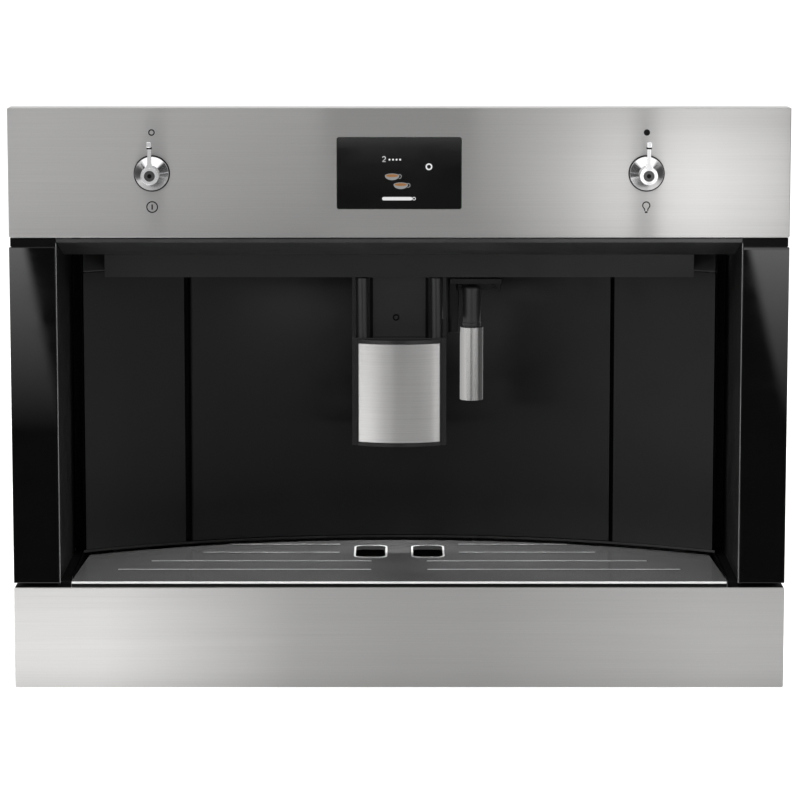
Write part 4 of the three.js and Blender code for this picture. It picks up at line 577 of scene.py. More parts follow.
FRONT_STEEL = BrushedSteel("front_steel", grey(0.61, 0.01), grey(0.53, 0.012), 0.42, 0.46)
SPOUT_STEEL = BrushedSteel("spout_steel", grey(0.66, 0.01), grey(0.5, 0.012), 0.34, 0.42)
SLEEVE_STEEL = BrushedSteel(
    "sleeve_steel", grey(0.62, 0.01), grey(0.5, 0.012), 0.24, 0.32, grain=Grain.ALONG_Z, anisotropy=0.0
)
BOILER_STEEL = BrushedSteel(
    "boiler_steel", grey(0.6), grey(0.46), 0.25, 0.4, grain=Grain.ALONG_Y, anisotropy=0.0
)
CHROME = PolishedMetal("chrome", grey(0.86), grey(0.78), 0.04, 0.09)
TOOL_STEEL = PolishedMetal("tool_steel", grey(0.42, 0.01), grey(0.3, 0.01), 0.28, 0.42)
COPPER = PolishedMetal("copper", (0.86, 0.43, 0.27), (0.6, 0.26, 0.15), 0.18, 0.34)
ZINC = ZincSheet("zinc_sheet", grey(0.62), grey(0.46), 0.34, 0.46)
DARK_ZINC = ZincSheet("dark_zinc", grey(0.05), grey(0.035), 0.4, 0.5)
SATIN_BLACK = MouldedPlastic("satin_black", grey(0.009), grey(0.006), 0.38, 0.5, reflectance=0.4)
GLOSS_BLACK = MouldedPlastic(
    "gloss_black", grey(0.005), grey(0.003), 0.2, 0.28, grain=1.2, relief=0.03, reflectance=0.36
)
PANEL_BLACK = MouldedPlastic(
    "panel_black", grey(0.0024), grey(0.0016), 0.32, 0.42, grain=0.25, relief=0.08, reflectance=0.3
)
WALL_BLACK = MouldedPlastic(
    "wall_black", grey(0.012), grey(0.009), 0.34, 0.44, grain=0.25, relief=0.08, reflectance=0.4
)
CEILING_GREY = MouldedPlastic("ceiling_grey", grey(0.04), grey(0.03), 0.3, 0.4, grain=0.25, relief=0.08)
HANGER_BLACK = MouldedPlastic("hanger_black", grey(0.003), grey(0.002), 0.3, 0.42, reflectance=0.3)
TRAY_ENAMEL = MouldedPlastic("tray_enamel", grey(0.105), grey(0.098), 0.12, 0.18, grain=0.8, relief=0.02)
WHITE_PLASTIC = MouldedPlastic("white_plastic", grey(0.72), grey(0.62), 0.3, 0.4)
RED_PLASTIC = MouldedPlastic("red_plastic", (0.5, 0.03, 0.02), (0.36, 0.02, 0.015), 0.3, 0.42)
PRINT_BLACK = MouldedPlastic(
    "print_black", grey(0.003), grey(0.002), 0.6, 0.7, grain=0.1, relief=0.04, reflectance=0.1
)
SIDE_GLASS = DarkGlass("side_glass", grey(0.0015), grey(0.001), 0.015, 0.04)
SCREEN_GLASS = DarkGlass("screen_glass", grey(0.006), grey(0.004), 0.03, 0.06)
# Pale grey whose brightness is a painted highlight on the tray's slot lips and drain rims.
LIP_HIGHLIGHT_GREY = MouldedPlastic("lip_painted_highlight", grey(0.68), grey(0.6), 0.3, 0.4, grain=0.1, relief=0.03)
BEAD_SILVER = MouldedPlastic("bead_silver", grey(0.78), grey(0.7), 0.3, 0.4, grain=0.1, relief=0.03)
TRIM_GREY = MouldedPlastic("trim_grey", grey(0.15), grey(0.12), 0.3, 0.4, grain=0.3, relief=0.05)
# Dead black for painted shade in slots, gaps, seams and grooves, the painted shadow under the knobs' tips and
# round their feet, and the knobs' middle dots.
SHADE_BLACK = MouldedPlastic("shade_black", grey(0.003), grey(0.002), 0.6, 0.8, reflectance=0.1)
CAP_GREY = MouldedPlastic("cap_grey", grey(0.035), grey(0.028), 0.4, 0.5)
NOZZLE_GREY = MouldedPlastic("nozzle_grey", grey(0.02), grey(0.015), 0.3, 0.4)
LAMP_WHITE = Glow("lamp_white", grey(0.95), grey(0.85), 0.4, 0.4)
SMOKED_CLEAR = ClearPlastic("smoked_clear", grey(0.42), grey(0.34), 0.04, 0.1)
BOARD_GREEN = CircuitBoard("board_green", (0.04, 0.2, 0.06), (0.01, 0.07, 0.03), 0.3, 0.5)
SCREEN_WHITE = Glow("screen_white", grey(0.95), grey(0.75), 0.3, 0.3)
SCREEN_BROWN = Glow("screen_brown", (0.42, 0.2, 0.06), (0.25, 0.1, 0.03), 0.3, 0.3)
SCREEN_GREY = Glow("screen_grey", grey(0.35), grey(0.25), 0.3, 0.3)


# ---------------------------------------------------------------- pieces

MACHINE = "machine"
CREASE = math.radians(40)
SHARP_TURN = math.radians(35)
BEVEL_LIMIT = math.radians(32)
SAME_POINT = 1e-7
JOIN_REACH = 1e-5
LARGE_FACE_WEIGHT = 80


def extent(node: str) -> tuple[Array, Array]:
    """Lowest and highest corner of a node of the frame, in millimetres."""
    low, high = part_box(node)
    return np.array(low) / MM, np.array(high) / MM


def body_of(node: str) -> str:
    """The body that carries a node of the frame."""
    return frame["nodes"][node]["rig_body"]


def lay_grain(mesh: bpy.types.Mesh) -> None:
    """Adds the map that brushed steel turns its highlights by: U is the height and V the width."""
    places = np.zeros(len(mesh.vertices) * 3)
    mesh.vertices.foreach_get("co", places)
    corner = np.zeros(len(mesh.loops), np.int32)
    mesh.loops.foreach_get("vertex_index", corner)
    places = places.reshape(-1, 3)[corner]
    layer = mesh.uv_layers.new(name="grain")
    layer.data.foreach_set("uv", places[:, [2, 0]].ravel())


def make_piece(
    name: str,
    shells: Iterable[Shell],
    body: str,
    finish: Finish,
    replaces: Sequence[str] = (),
) -> None:
    """Makes one piece from closed shells and joins it to the frame.

    Args:
        name: the piece's name.
        shells: its closed shells, in millimetres.
        body: the body of the frame that it moves with.
        finish: its finish.
        replaces: the nodes of the frame that it stands for.
    """
    shells = list(shells)
    offset = 0
    faces: list[list[int]] = []
    for shell in shells:
        faces += [[offset + index for index in face] for face in shell.faces]
        offset += len(shell.points)
    points = np.vstack([shell.points for shell in shells]) * MM
    mesh = bpy.data.meshes.new(name)
    mesh.from_pydata(points, [], faces)
    work = bmesh.new()
    work.from_mesh(mesh)
    bmesh.ops.remove_doubles(work, verts=work.verts, dist=SAME_POINT)
    bmesh.ops.recalc_face_normals(work, faces=work.faces)
    work.to_mesh(mesh)
    work.free()
    mesh.shade_smooth()
    mesh.set_sharp_from_angle(angle=CREASE)
    lay_grain(mesh)
    piece = bpy.data.objects.new(name, mesh)
    bpy.context.scene.collection.objects.link(piece)
    mesh.materials.append(finish.material())
    steady_normals(piece)
    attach(piece, body)
    if replaces:
        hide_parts(*replaces)
    LOG.info("%s: %d points, rides on %s", name, len(mesh.vertices), body)


def replace_node(name: str, node: str, shells: Iterable[Shell], finish: Finish) -> None:
    """Makes the piece that stands for one node of the frame and moves with that node's body."""
    make_piece(name, shells, body_of(node), finish, replaces=[node])


def steady_normals(piece: bpy.types.Object) -> None:
    """Lets the large faces set the shading, so that flat faces stay flat up to their rims."""
    modifier = piece.modifiers.new("steady_normals", "WEIGHTED_NORMAL")
    modifier.keep_sharp = True
    modifier.weight = LARGE_FACE_WEIGHT


def node_group(name: str) -> tuple[bpy.types.NodeTree, bpy.types.Node, bpy.types.Node]:
    """An empty geometry group with its input and output."""
    group = bpy.data.node_groups.new(name, "GeometryNodeTree")
    group.interface.new_socket("Geometry", in_out="INPUT", socket_type="NodeSocketGeometry")
    group.interface.new_socket("Geometry", in_out="OUTPUT", socket_type="NodeSocketGeometry")
    return group, group.nodes.new("NodeGroupInput"), group.nodes.new("NodeGroupOutput")


def merge_group() -> bpy.types.NodeTree:
    """Joins the loose triangles of a node: drops its stored normals and merges equal points."""
    known = bpy.data.node_groups.get("join_triangles")
    if known:
        return known
    group, source, target = node_group("join_triangles")
    drop = group.nodes.new("GeometryNodeRemoveAttribute")
    drop.inputs["Name"].default_value = "custom_normal"
    merge = group.nodes.new("GeometryNodeMergeByDistance")
    merge.inputs["Distance"].default_value = JOIN_REACH
    group.links.new(source.outputs[0], drop.inputs["Geometry"])
    group.links.new(drop.outputs[0], merge.inputs["Geometry"])
    group.links.new(merge.outputs[0], target.inputs[0])
    return group


def soften_group() -> bpy.types.NodeTree:
    """Shades a node smooth but for edges that turn by more than SHARP_TURN."""
    known = bpy.data.node_groups.get("soften")
    if known:
        return known
    group, source, target = node_group("soften")
    faces = group.nodes.new("GeometryNodeSetShadeSmooth")
    faces.domain = "FACE"
    edges = group.nodes.new("GeometryNodeSetShadeSmooth")
    edges.domain = "EDGE"
    edges.inputs["Shade Smooth"].default_value = False
    turn = group.nodes.new("GeometryNodeInputMeshEdgeAngle")
    limit = group.nodes.new("FunctionNodeCompare")
    limit.operation = "GREATER_THAN"
    limit.inputs["B"].default_value = SHARP_TURN
    group.links.new(source.outputs[0], faces.inputs["Geometry"])
    group.links.new(faces.outputs[0], edges.inputs["Geometry"])
    group.links.new(turn.outputs[0], limit.inputs["A"])
    group.links.new(limit.outputs[0], edges.inputs["Selection"])
    group.links.new(edges.outputs[0], target.inputs[0])
    return group


def dress(node: str, finish: Finish, edge: float = 0.4) -> None:
    """Gives a node of the frame its finish and breaks its edges.

    Args:
        node: the node's name.
        finish: its finish.
        edge: width of the broken edges, in millimetres; none where it is 0.
    """
    piece = frame["nodes"][node]
    for slot in piece.material_slots:
        slot.material = finish.material()
    piece.modifiers.new("join_triangles", "NODES").node_group = merge_group()
    if edge:
        bevel = piece.modifiers.new("broken_edges", "BEVEL")
        bevel.width = edge * MM
        bevel.segments = 2
        bevel.limit_method = "ANGLE"
        bevel.angle_limit = BEVEL_LIMIT
        bevel.use_clamp_overlap = True
        bevel.miter_outer = "MITER_ARC"
    piece.modifiers.new("soften", "NODES").node_group = soften_group()
    steady_normals(piece)
    LOG.info("%s: dressed in %s", node, finish.name)


# ---------------------------------------------------------------- the front


@dataclass(frozen=True)
class SteelPan:
    """A pressed front: a flat face whose edges turn back in a quarter round.

    Attributes:
        corner: radius of its corners, seen from the front.
        least_corner: radius that a corner keeps where its loop is inset.
        rim: radius of the turn from face to side.
        sheet: thickness of the sheet.
        window_corner: radius of a window's corners.
        window_rim: radius of a window's edge.
        middle: how far inside its outline a face without a window has its last loop.
    """

    corner: float = 1.2
    least_corner: float = 0.3
    rim: float = 0.7
    sheet: float = 1.5
    window_corner: float = 1.6
    window_rim: float = 0.35
    middle: float = 20.0

    def shell(self, low: Array, high: Array, window: Sequence[Array] | None = None) -> Shell:
        """The pan between two corners of its box.

        Its loops are rounded rectangles.  From the back edge they run forward up the side, round
        the rim, over the face to the window or the middle, and back inside the sheet.

        Args:
            low: lowest corner of the pan.
            high: highest corner of the pan.
            window: lowest and highest corner of a window in X and Z.

        Returns:
            The closed shell.
        """
        front, back = low[1], high[1]
        inside = front + self.sheet
        angle = np.linspace(0, QUARTER, 6)

        def loop(shrink: float, depth: float) -> Array:
            """The pan's outline, inset, at a depth."""
            radius = max(self.corner - shrink, self.least_corner)
            outline = rounded_rectangle(low[[0, 2]] + shrink, high[[0, 2]] - shrink, radius)
            return lay(outline, depth, Plane.FRONT)

        def opening(grow: float, depth: float) -> Array:
            """The window's outline, widened, at a depth."""
            outline = rounded_rectangle(window[0] - grow, window[1] + grow, self.window_corner + grow)
            return lay(outline, depth, Plane.FRONT)

        turn = [loop(self.rim * (1 - math.cos(a)), front + self.rim * (1 - math.sin(a))) for a in angle]
        outside = [loop(0, back), *turn]
        lining = [loop(self.sheet, inside), loop(self.sheet, back)]
        if window is None:
            ends = loop(self.middle, front), loop(self.middle, inside)
            return loft(np.array([ends[0], *outside[::-1], *lining[::-1], ends[1]]))
        edge = self.window_rim
        sill = [opening(edge * (1 - math.sin(a)), front + edge * (1 - math.cos(a))) for a in angle]
        return loft(np.array([*outside, *sill, opening(0, inside), *lining]), wrap=True)


@dataclass(frozen=True)
class Ink:
    """Flat marks on the front, between two depths."""

    low: float
    high: float
    rim: float = 0.005

    def patch(self, outline: Outline) -> Shell:
        """A filled mark."""
        return slab(outline, self.low, self.high, Plane.FRONT, rim=self.rim, steps=1)

    def disc(self, centre: Sequence[float], radius: float, steps: int = 48) -> Shell:
        """A filled dot."""
        return self.patch(circle(centre, radius, steps))

    def hoop(self, centre: Sequence[float], inner: float, outer: float) -> Shell:
        """A ring between two radii."""
        return ring(circle(centre, inner), circle(centre, outer), self.low, self.high, Plane.FRONT, self.rim)

    def line(self, path: Array, width: float) -> Shell:
        """A line: its path, widened by half its width to each side."""
        along = np.gradient(path, axis=0)
        along /= np.linalg.norm(along, axis=1, keepdims=True)
        across = np.stack([-along[:, 1], along[:, 0]], -1) * width / 2
        left, right = path + across, path - across
        corners = [lay(left, self.low, Plane.FRONT), lay(right, self.low, Plane.FRONT)]
        corners += [lay(right, self.high, Plane.FRONT), lay(left, self.high, Plane.FRONT)]
        return loft(np.stack(corners, 1))


def knob_axis(node: str) -> Array:
    """Where a knob's axis crosses the front, in X and Z: the middle of its round base."""
    low, high = extent(node)
    half = (high[0] - low[0]) / 2
    return np.array([low[0] + half, low[2] + half])


@dataclass
class ControlPanel:
    """The steel fascia with its display and the symbols printed beside the knobs."""

    pan: SteelPan = SteelPan()
    window_gap: float = 0.35
    glass_rim: float = 0.25
    ink_height: float = 0.03
    symbol_above: float = 31.0
    symbol_below: float = 25.7

    def build(self) -> None:
        """Makes the fascia, the display and the symbols."""
        self.make_fascia()
        self.make_display()
        self.make_symbols()

    def make_fascia(self) -> None:
        """The pressed pan, whose window is a gap wider than the display's glass."""
        low, high = extent("control_fascia")
        glass_low, glass_high = extent("display_glass")
        window = glass_low[[0, 2]] - self.window_gap, glass_high[[0, 2]] + self.window_gap
        shell = self.pan.shell(low, high, window)
        replace_node("fascia_skin", "control_fascia", [shell], FRONT_STEEL)

    def make_display(self) -> None:
        """The flush glass and, just over it, the lit marks of a brewing page."""
        low, high = extent("display_glass")
        plate = rounded_rectangle(low[[0, 2]], high[[0, 2]], self.pan.window_corner)
        pane = slab(plate, low[1], high[1], Plane.FRONT, rim=self.glass_rim)
        replace_node("display_pane", "display_glass", [pane], SCREEN_GLASS)
        DisplayPage(middle=(low + high)[[0, 2]] / 2, face=low[1]).build()

    def make_symbols(self) -> None:
        """A ring for off, a barred ring for standby, a dot for on, and a bulb with its foot."""
        face = extent("control_fascia")[0][1]
        ink = Ink(face - self.ink_height, face, rim=0.01)
        above, below = np.array([0, self.symbol_above]), np.array([0, -self.symbol_below])
        off, standby = knob_axis("knob_left") + above, knob_axis("knob_left") + below
        on, lamp = knob_axis("knob_right") + above, knob_axis("knob_right") + below
        bar = np.array([[0, -2.0], [0, 0], [0, 2.0]])
        bulb = np.vstack([[[1.1, -2.9]], arc((0, 1.2), 2.7, -58, 238, 40), [[-1.1, -2.9]]])
        foot = np.array([[-1.0, -3.9], [0, -3.9], [1.0, -3.9]])
        shells = [
            ink.hoop(off, 1.55, 2.5),
            ink.hoop(standby, 3.6, 4.5),
            ink.line(standby + bar, 1.1),
            ink.disc(on, 2.4),
            ink.line(lamp + bulb, 0.85),
            ink.line(lamp + foot, 1.3),
        ]
        make_piece("printed_symbols", shells, MACHINE, PRINT_BLACK)


@dataclass
class DisplayPage:
    """The marks that the display shows: a count, a strength, two cups, a bar and a stop ring.

    Attributes:
        middle: the page's middle, in X and Z.
        face: depth of the glass's face.
        lift: how far the marks stand before the glass.
        cup_width: width of a cup.
    """

    middle: Array
    face: float
    lift: float = 0.04
    cup_width: float = 11.0

    def build(self) -> None:
        """Makes the white, brown and grey marks."""
        ink = Ink(self.face - self.lift, self.face - self.lift / 4)
        count = np.vstack([arc((-11.6, 11.6), 1.15, 165, -35, 16), [[-12.8, 8.9], [-10.3, 8.9]]])
        bar = rounded_rectangle((-13.0, -20.6), (10.0, -18.0), 1.2)
        white = [
            ink.line(self.middle + count, 0.5),
            ink.hoop(self.middle + (22.6, 5.0), 1.5, 2.6),
            ink.patch(self.middle + bar),
            ink.hoop(self.middle + (11.3, -19.3), 0.8, 1.3),
            *(ink.disc(self.middle + (-7.4 + 2.7 * k, 10.4), 0.75, 20) for k in range(4)),
        ]
        cups, coffee = [], []
        for place in ((-5.4, -1.8), (1.2, -8.6)):
            cups += self.cup(self.middle + place, ink)
            coffee.append(self.coffee(self.middle + place, ink.low))
        make_piece("display_white", white, MACHINE, SCREEN_WHITE)
        make_piece("display_cups", cups, MACHINE, SCREEN_GREY)
        make_piece("display_coffee", coffee, MACHINE, SCREEN_BROWN)

    def cup(self, middle: Array, ink: Ink) -> list[Shell]:
        """A cup seen from above its rim, with its handle.

        Its points are both half axes times the cosine and sine of the angle: the lower half of a
        deep ellipse under the upper half of a flat one.
        """
        half = self.cup_width / 2
        angle = np.linspace(0, TURN, 40, endpoint=False)
        depth = np.where(np.sin(angle) < 0, 0.62 * half, 0.3 * half)
        body = middle + np.stack([half * np.cos(angle), depth * np.sin(angle)], -1)
        handle = arc(middle + (half, -0.1 * half), 0.28 * half, -110, 110, 14)
        return [ink.patch(body), ink.line(handle, 0.5)]

    def coffee(self, middle: Array, face: float) -> Shell:
        """The coffee in a cup: a flat ellipse just before the cup's mark."""
        half = self.cup_width / 2
        angle = np.linspace(0, TURN, 40, endpoint=False)
        surface = middle + half * np.stack([0.86 * np.cos(angle), 0.2 * np.sin(angle)], -1)
        return Ink(face - 0.02, face - 0.01, rim=0.002).patch(surface)


@dataclass
class LeverKnob:
    """A chrome cone with a lever: a ring plate round a dark cap, drawn out into a thin rod.

    Attributes:
        flare: radius of the hollow between ring plate and rod.
        tip_over: how far the bent tip passes the rod's end.
        tip_reach: how far it stands out before the hub's face.
        plate: thickness of the lever.
        washer: width of the fixed ring round the cone's foot, with its height and clearance.
        base: height of the cone's foot.
        flank: depth of the cone's straight flank.
    """

    node: str
    hub_radius: float = 6.8
    cap_radius: float = 4.6
    rod_half: float = 1.45
    flare: float = 6.0
    rod_top: float = 24.5
    tip_half: float = 1.95
    tip_height: float = 4.2
    tip_over: float = 1.5
    tip_reach: float = 5.0
    plate: float = 3.0
    washer: float = 0.85
    washer_height: float = 1.3
    washer_gap: float = 0.1
    base: float = 2.6
    flank: float = 6.4

    def __post_init__(self) -> None:
        """Reads the knob's place and depths from the frame."""
        low, high = extent(self.node)
        self.axis = knob_axis(self.node)
        self.radius = (high[0] - low[0]) / 2
        self.tip_front, self.foot = low[1], high[1]
        self.face = low[1] + self.tip_reach
        self.lever_back = self.face + self.plate
        self.seat = extent("control_fascia")[0][1]

    def build(self) -> None:
        """Makes the chrome cone and lever, the cap, the black dot, a black band that paints the tip's shadow,
        and the black fixed ring, which also paints the shadow gap round the cone's foot.
        """
        cone = turned(self.cone_profile(), self.axis, Plane.FRONT, 96)
        replace_node(f"{self.node}_chrome", self.node, [cone, *self.lever()], CHROME)
        body = body_of(self.node)
        make_piece(f"{self.node}_cap", [self.cap()], body, CAP_GREY)
        make_piece(f"{self.node}_marks", [self.button(), self.tip_shadow()], body, SHADE_BLACK)
        make_piece(f"{self.node}_bezel", [self.bezel()], MACHINE, SHADE_BLACK)

    def cone_profile(self) -> list[list[float]]:
        """The cone's stops: a slim base ring, a straight flank, and a neck behind the lever."""
        base_front = self.seat - self.base
        neck_front = self.lever_back - 0.2
        neck = self.hub_radius - 0.5
        edge = self.radius - self.washer
        return [
            [0, neck_front],
            [neck, neck_front],
            [neck, base_front - self.flank - 0.5],
            [neck + 0.25, base_front - self.flank],
            [edge - 0.35, base_front],
            [edge - 0.08, base_front + 0.3],
            [edge, base_front + 0.8],
            [edge, self.foot],
            [0, self.foot],
        ]

    def lever(self) -> list[Shell]:
        """The keyhole-shaped plate, the raised ring round the cap and the bent tip."""
        x, top = self.axis[0], self.tip_top()
        plate = slab(self.keyhole() + self.axis, self.face, self.lever_back, Plane.FRONT, rim=0.35)
        profile = [
            [self.cap_radius, self.face + 0.4],
            [self.cap_radius + 0.15, self.face - 0.1],
            [self.cap_radius + 0.6, self.face - 0.25],
            [self.hub_radius - 0.9, self.face - 0.12],
            [self.hub_radius - 0.5, self.face + 0.4],
        ]
        corners = (x - self.tip_half, top - self.tip_height), (x + self.tip_half, top)
        tip = slab(rounded_rectangle(*corners, 0.9), self.tip_front, self.lever_back, Plane.FRONT, rim=0.6)
        return [plate, turned_ring(profile, self.axis, Plane.FRONT), tip]

    def tip_top(self) -> float:
        """Height of the tip's upper end."""
        return self.axis[1] + self.rod_top + self.tip_over

    def keyhole(self) -> Outline:
        """The lever plate's outline about the hub's middle.

        The hub's circle runs from its foot up to the point where a hollow arc touches it; that arc
        has its centre beside the rod and ends where the rod's straight side starts.
        """
        side = self.rod_half + self.flare
        rise = math.sqrt((self.hub_radius + self.flare) ** 2 - side**2)
        meet = math.degrees(math.atan2(rise, side))
        hub = arc((0, 0), self.hub_radius, -90, meet, 30)
        hollow = arc((side, rise), self.flare, 180 + meet, 180, 12)[1:]
        rod = np.array([[self.rod_half, self.rod_top - 1.0], [self.rod_half - 0.4, self.rod_top]])
        right = np.vstack([hub, hollow, rod])
        left = right[::-1] * [-1, 1]
        return np.vstack([right, left[:-1]])

    def cap(self) -> Shell:
        """The dark cap in the hub, with a soft edge."""
        radius, front = self.cap_radius - 0.35, self.face - 0.15
        profile = [[0, front], *fillet_profile(radius, front, 0.5, 1), [radius, self.face + 0.8]]
        return turned(profile, self.axis, Plane.FRONT)

    def button(self) -> Shell:
        """The small black point in the cap's middle."""
        face = self.face
        profile = [[0, face - 0.3], [1.5, face - 0.3], [1.7, face - 0.1], [1.7, face]]
        return turned(profile, self.axis, Plane.FRONT)

    def tip_shadow(self) -> Shell:
        """Painted shadow: the black band under the bent tip."""
        x, top = self.axis[0], self.tip_top() - self.tip_height
        outline = rounded_rectangle((x - self.tip_half, top - 1.5), (x + self.tip_half, top - 0.1), 0.4)
        return slab(outline, self.face - 0.5, self.lever_back + 0.1, Plane.FRONT, rim=0.2)

    def bezel(self) -> Shell:
        """The fixed ring on the fascia, in which the cone's foot turns; its black also paints the shadow gap
        round the foot.
        """
        inner, front = self.radius - self.washer + self.washer_gap, self.seat - self.washer_height
        profile = [
            [inner, self.seat],
            [inner, front],
            [self.radius - 0.15, front],
            [self.radius, front + 0.2],
            [self.radius, self.seat],
        ]
        return turned_ring(profile, self.axis, Plane.FRONT)


@dataclass
class SideGlasses:
    """The black glass panes at both sides of the recess."""

    corner: float = 0.5
    rim: float = 0.45

    def build(self) -> None:
        """Makes both panes with ground edges."""
        for side in ("left", "right"):
            node = f"side_glass_{side}"
            low, high = extent(node)
            outline = rounded_rectangle(low[[0, 2]], high[[0, 2]], self.corner)
            pane = slab(outline, low[1], high[1], Plane.FRONT, rim=self.rim)
            replace_node(f"pane_{side}", node, [pane], SIDE_GLASS)


@dataclass
class Drawer:
    """The drip drawer: its steel front, the slotted tray and what lies under it.

    Attributes:
        slots: depth of each slot's middle, and how far from the middle it starts and ends.
        drain_x: how far each drain's middle lies from the middle.
        drain_front: depth of a drain's front.
        bead_inset: how far the bright bead stays inside the tray's ends.
    """

    pan: SteelPan = SteelPan()
    slots: tuple[tuple[float, float, float], ...] = (
        (28.0, 22.0, 221.0),
        (64.0, 22.0, 197.0),
        (102.0, 48.0, 158.0),
        (138.0, 48.0, 137.0),
    )
    slot_width: float = 3.0
    drain_x: float = 23.0
    drain_width: float = 24.0
    drain_front: float = 82.0
    drain_length: float = 51.0
    drain_corner: float = 6.0
    bead_inset: float = 0.6

    def __post_init__(self) -> None:
        """Reads the tray's box from the frame."""
        self.low, self.high = extent("cup_grille")
        self.top = self.high[2]
        self.half = self.high[0] - self.bead_inset

    def build(self) -> None:
        """Makes the drawer front and the tray's trim, and dresses the nodes of both."""
        skin = self.pan.shell(*extent("drawer_front"))
        replace_node("drawer_skin", "drawer_front", [skin], FRONT_STEEL)
        body = body_of("cup_grille")
        # pale grey lips and drain rims: painted highlights of their lit edges
        make_piece("tray_lips", self.lips() + self.drain_rims(), body, LIP_HIGHLIGHT_GREY)
        make_piece("tray_bead", [self.bead()], body, BEAD_SILVER)
        # black strips: painted shade in the slots, under the bead and on the drawer's top flange
        make_piece("tray_painted_shades", self.shades(), body, SHADE_BLACK)
        dress("cup_grille", TRAY_ENAMEL, 0.35)
        dress("drip_basin", SATIN_BLACK, 0.5)
        dress("level_float", RED_PLASTIC, 0.4)
        dress("grounds_container", SATIN_BLACK, 0.5)

    def lips(self) -> list[Shell]:
        """A raised lip behind each slot, pale grey as a painted highlight of its lit edge."""
        lips = []
        for depth, inner, outer in self.slots:
            far = depth + self.slot_width / 2
            span = (far + 0.1, far + 0.9)
            lips += both_sides((inner, outer), span, (self.top - 0.2, self.top + 0.32), 0.4, 0.15, 3)
        return lips

    def drain_rims(self) -> list[Shell]:
        """A raised rim round each drain, pale grey as a painted highlight of its lit edge."""
        rims = []
        for x in (-self.drain_x, self.drain_x):
            near = (x - self.drain_width / 2, self.drain_front)
            far = (x + self.drain_width / 2, self.drain_front + self.drain_length)
            hole = rounded_rectangle(near, far, self.drain_corner)
            edges = inset(hole, -0.1), inset(hole, -1.1)
            rims.append(ring(*edges, self.top + 0.45, self.top - 0.1, Plane.TOP, rim=-0.3))
        return rims

    def bead(self) -> Shell:
        """The bright bead along the tray's front edge."""
        depth = (self.low[1] - 0.45, self.low[1] + 0.9)
        return bar((-self.half, self.half), depth, (self.top - 1.5, self.top + 0.1), 0.4, 0.35, 5)

    def shades(self) -> list[Shell]:
        """Painted shade: a black strip in each slot and under the bead, and a black ledge on each end of the
        front, that darken the slots, the gap under the bead and the drawer's top flange.
        """
        shades, in_slot = [], (self.top - 2.6, self.top - 0.1)
        for depth, inner, outer in self.slots:
            far = depth + self.slot_width / 2
            shades += both_sides((inner + 0.2, outer - 0.2), (far - 0.6, far - 0.1), in_slot, 0.2, 0.05)
        front = self.low[1]
        under = (self.low[2] - 0.9, self.top - 1.5)
        shades.append(bar((-self.half, self.half), (front - 0.3, front - 0.05), under, 0.1, 0.05))
        low, high = extent("drawer_front")
        across, depth = (self.half + 1.0, high[0] - 1.0), (low[1] + 0.8, high[1] - 0.6)
        return shades + both_sides(across, depth, (high[2] + 0.05, high[2] + 0.7), 0.4, 0.1)


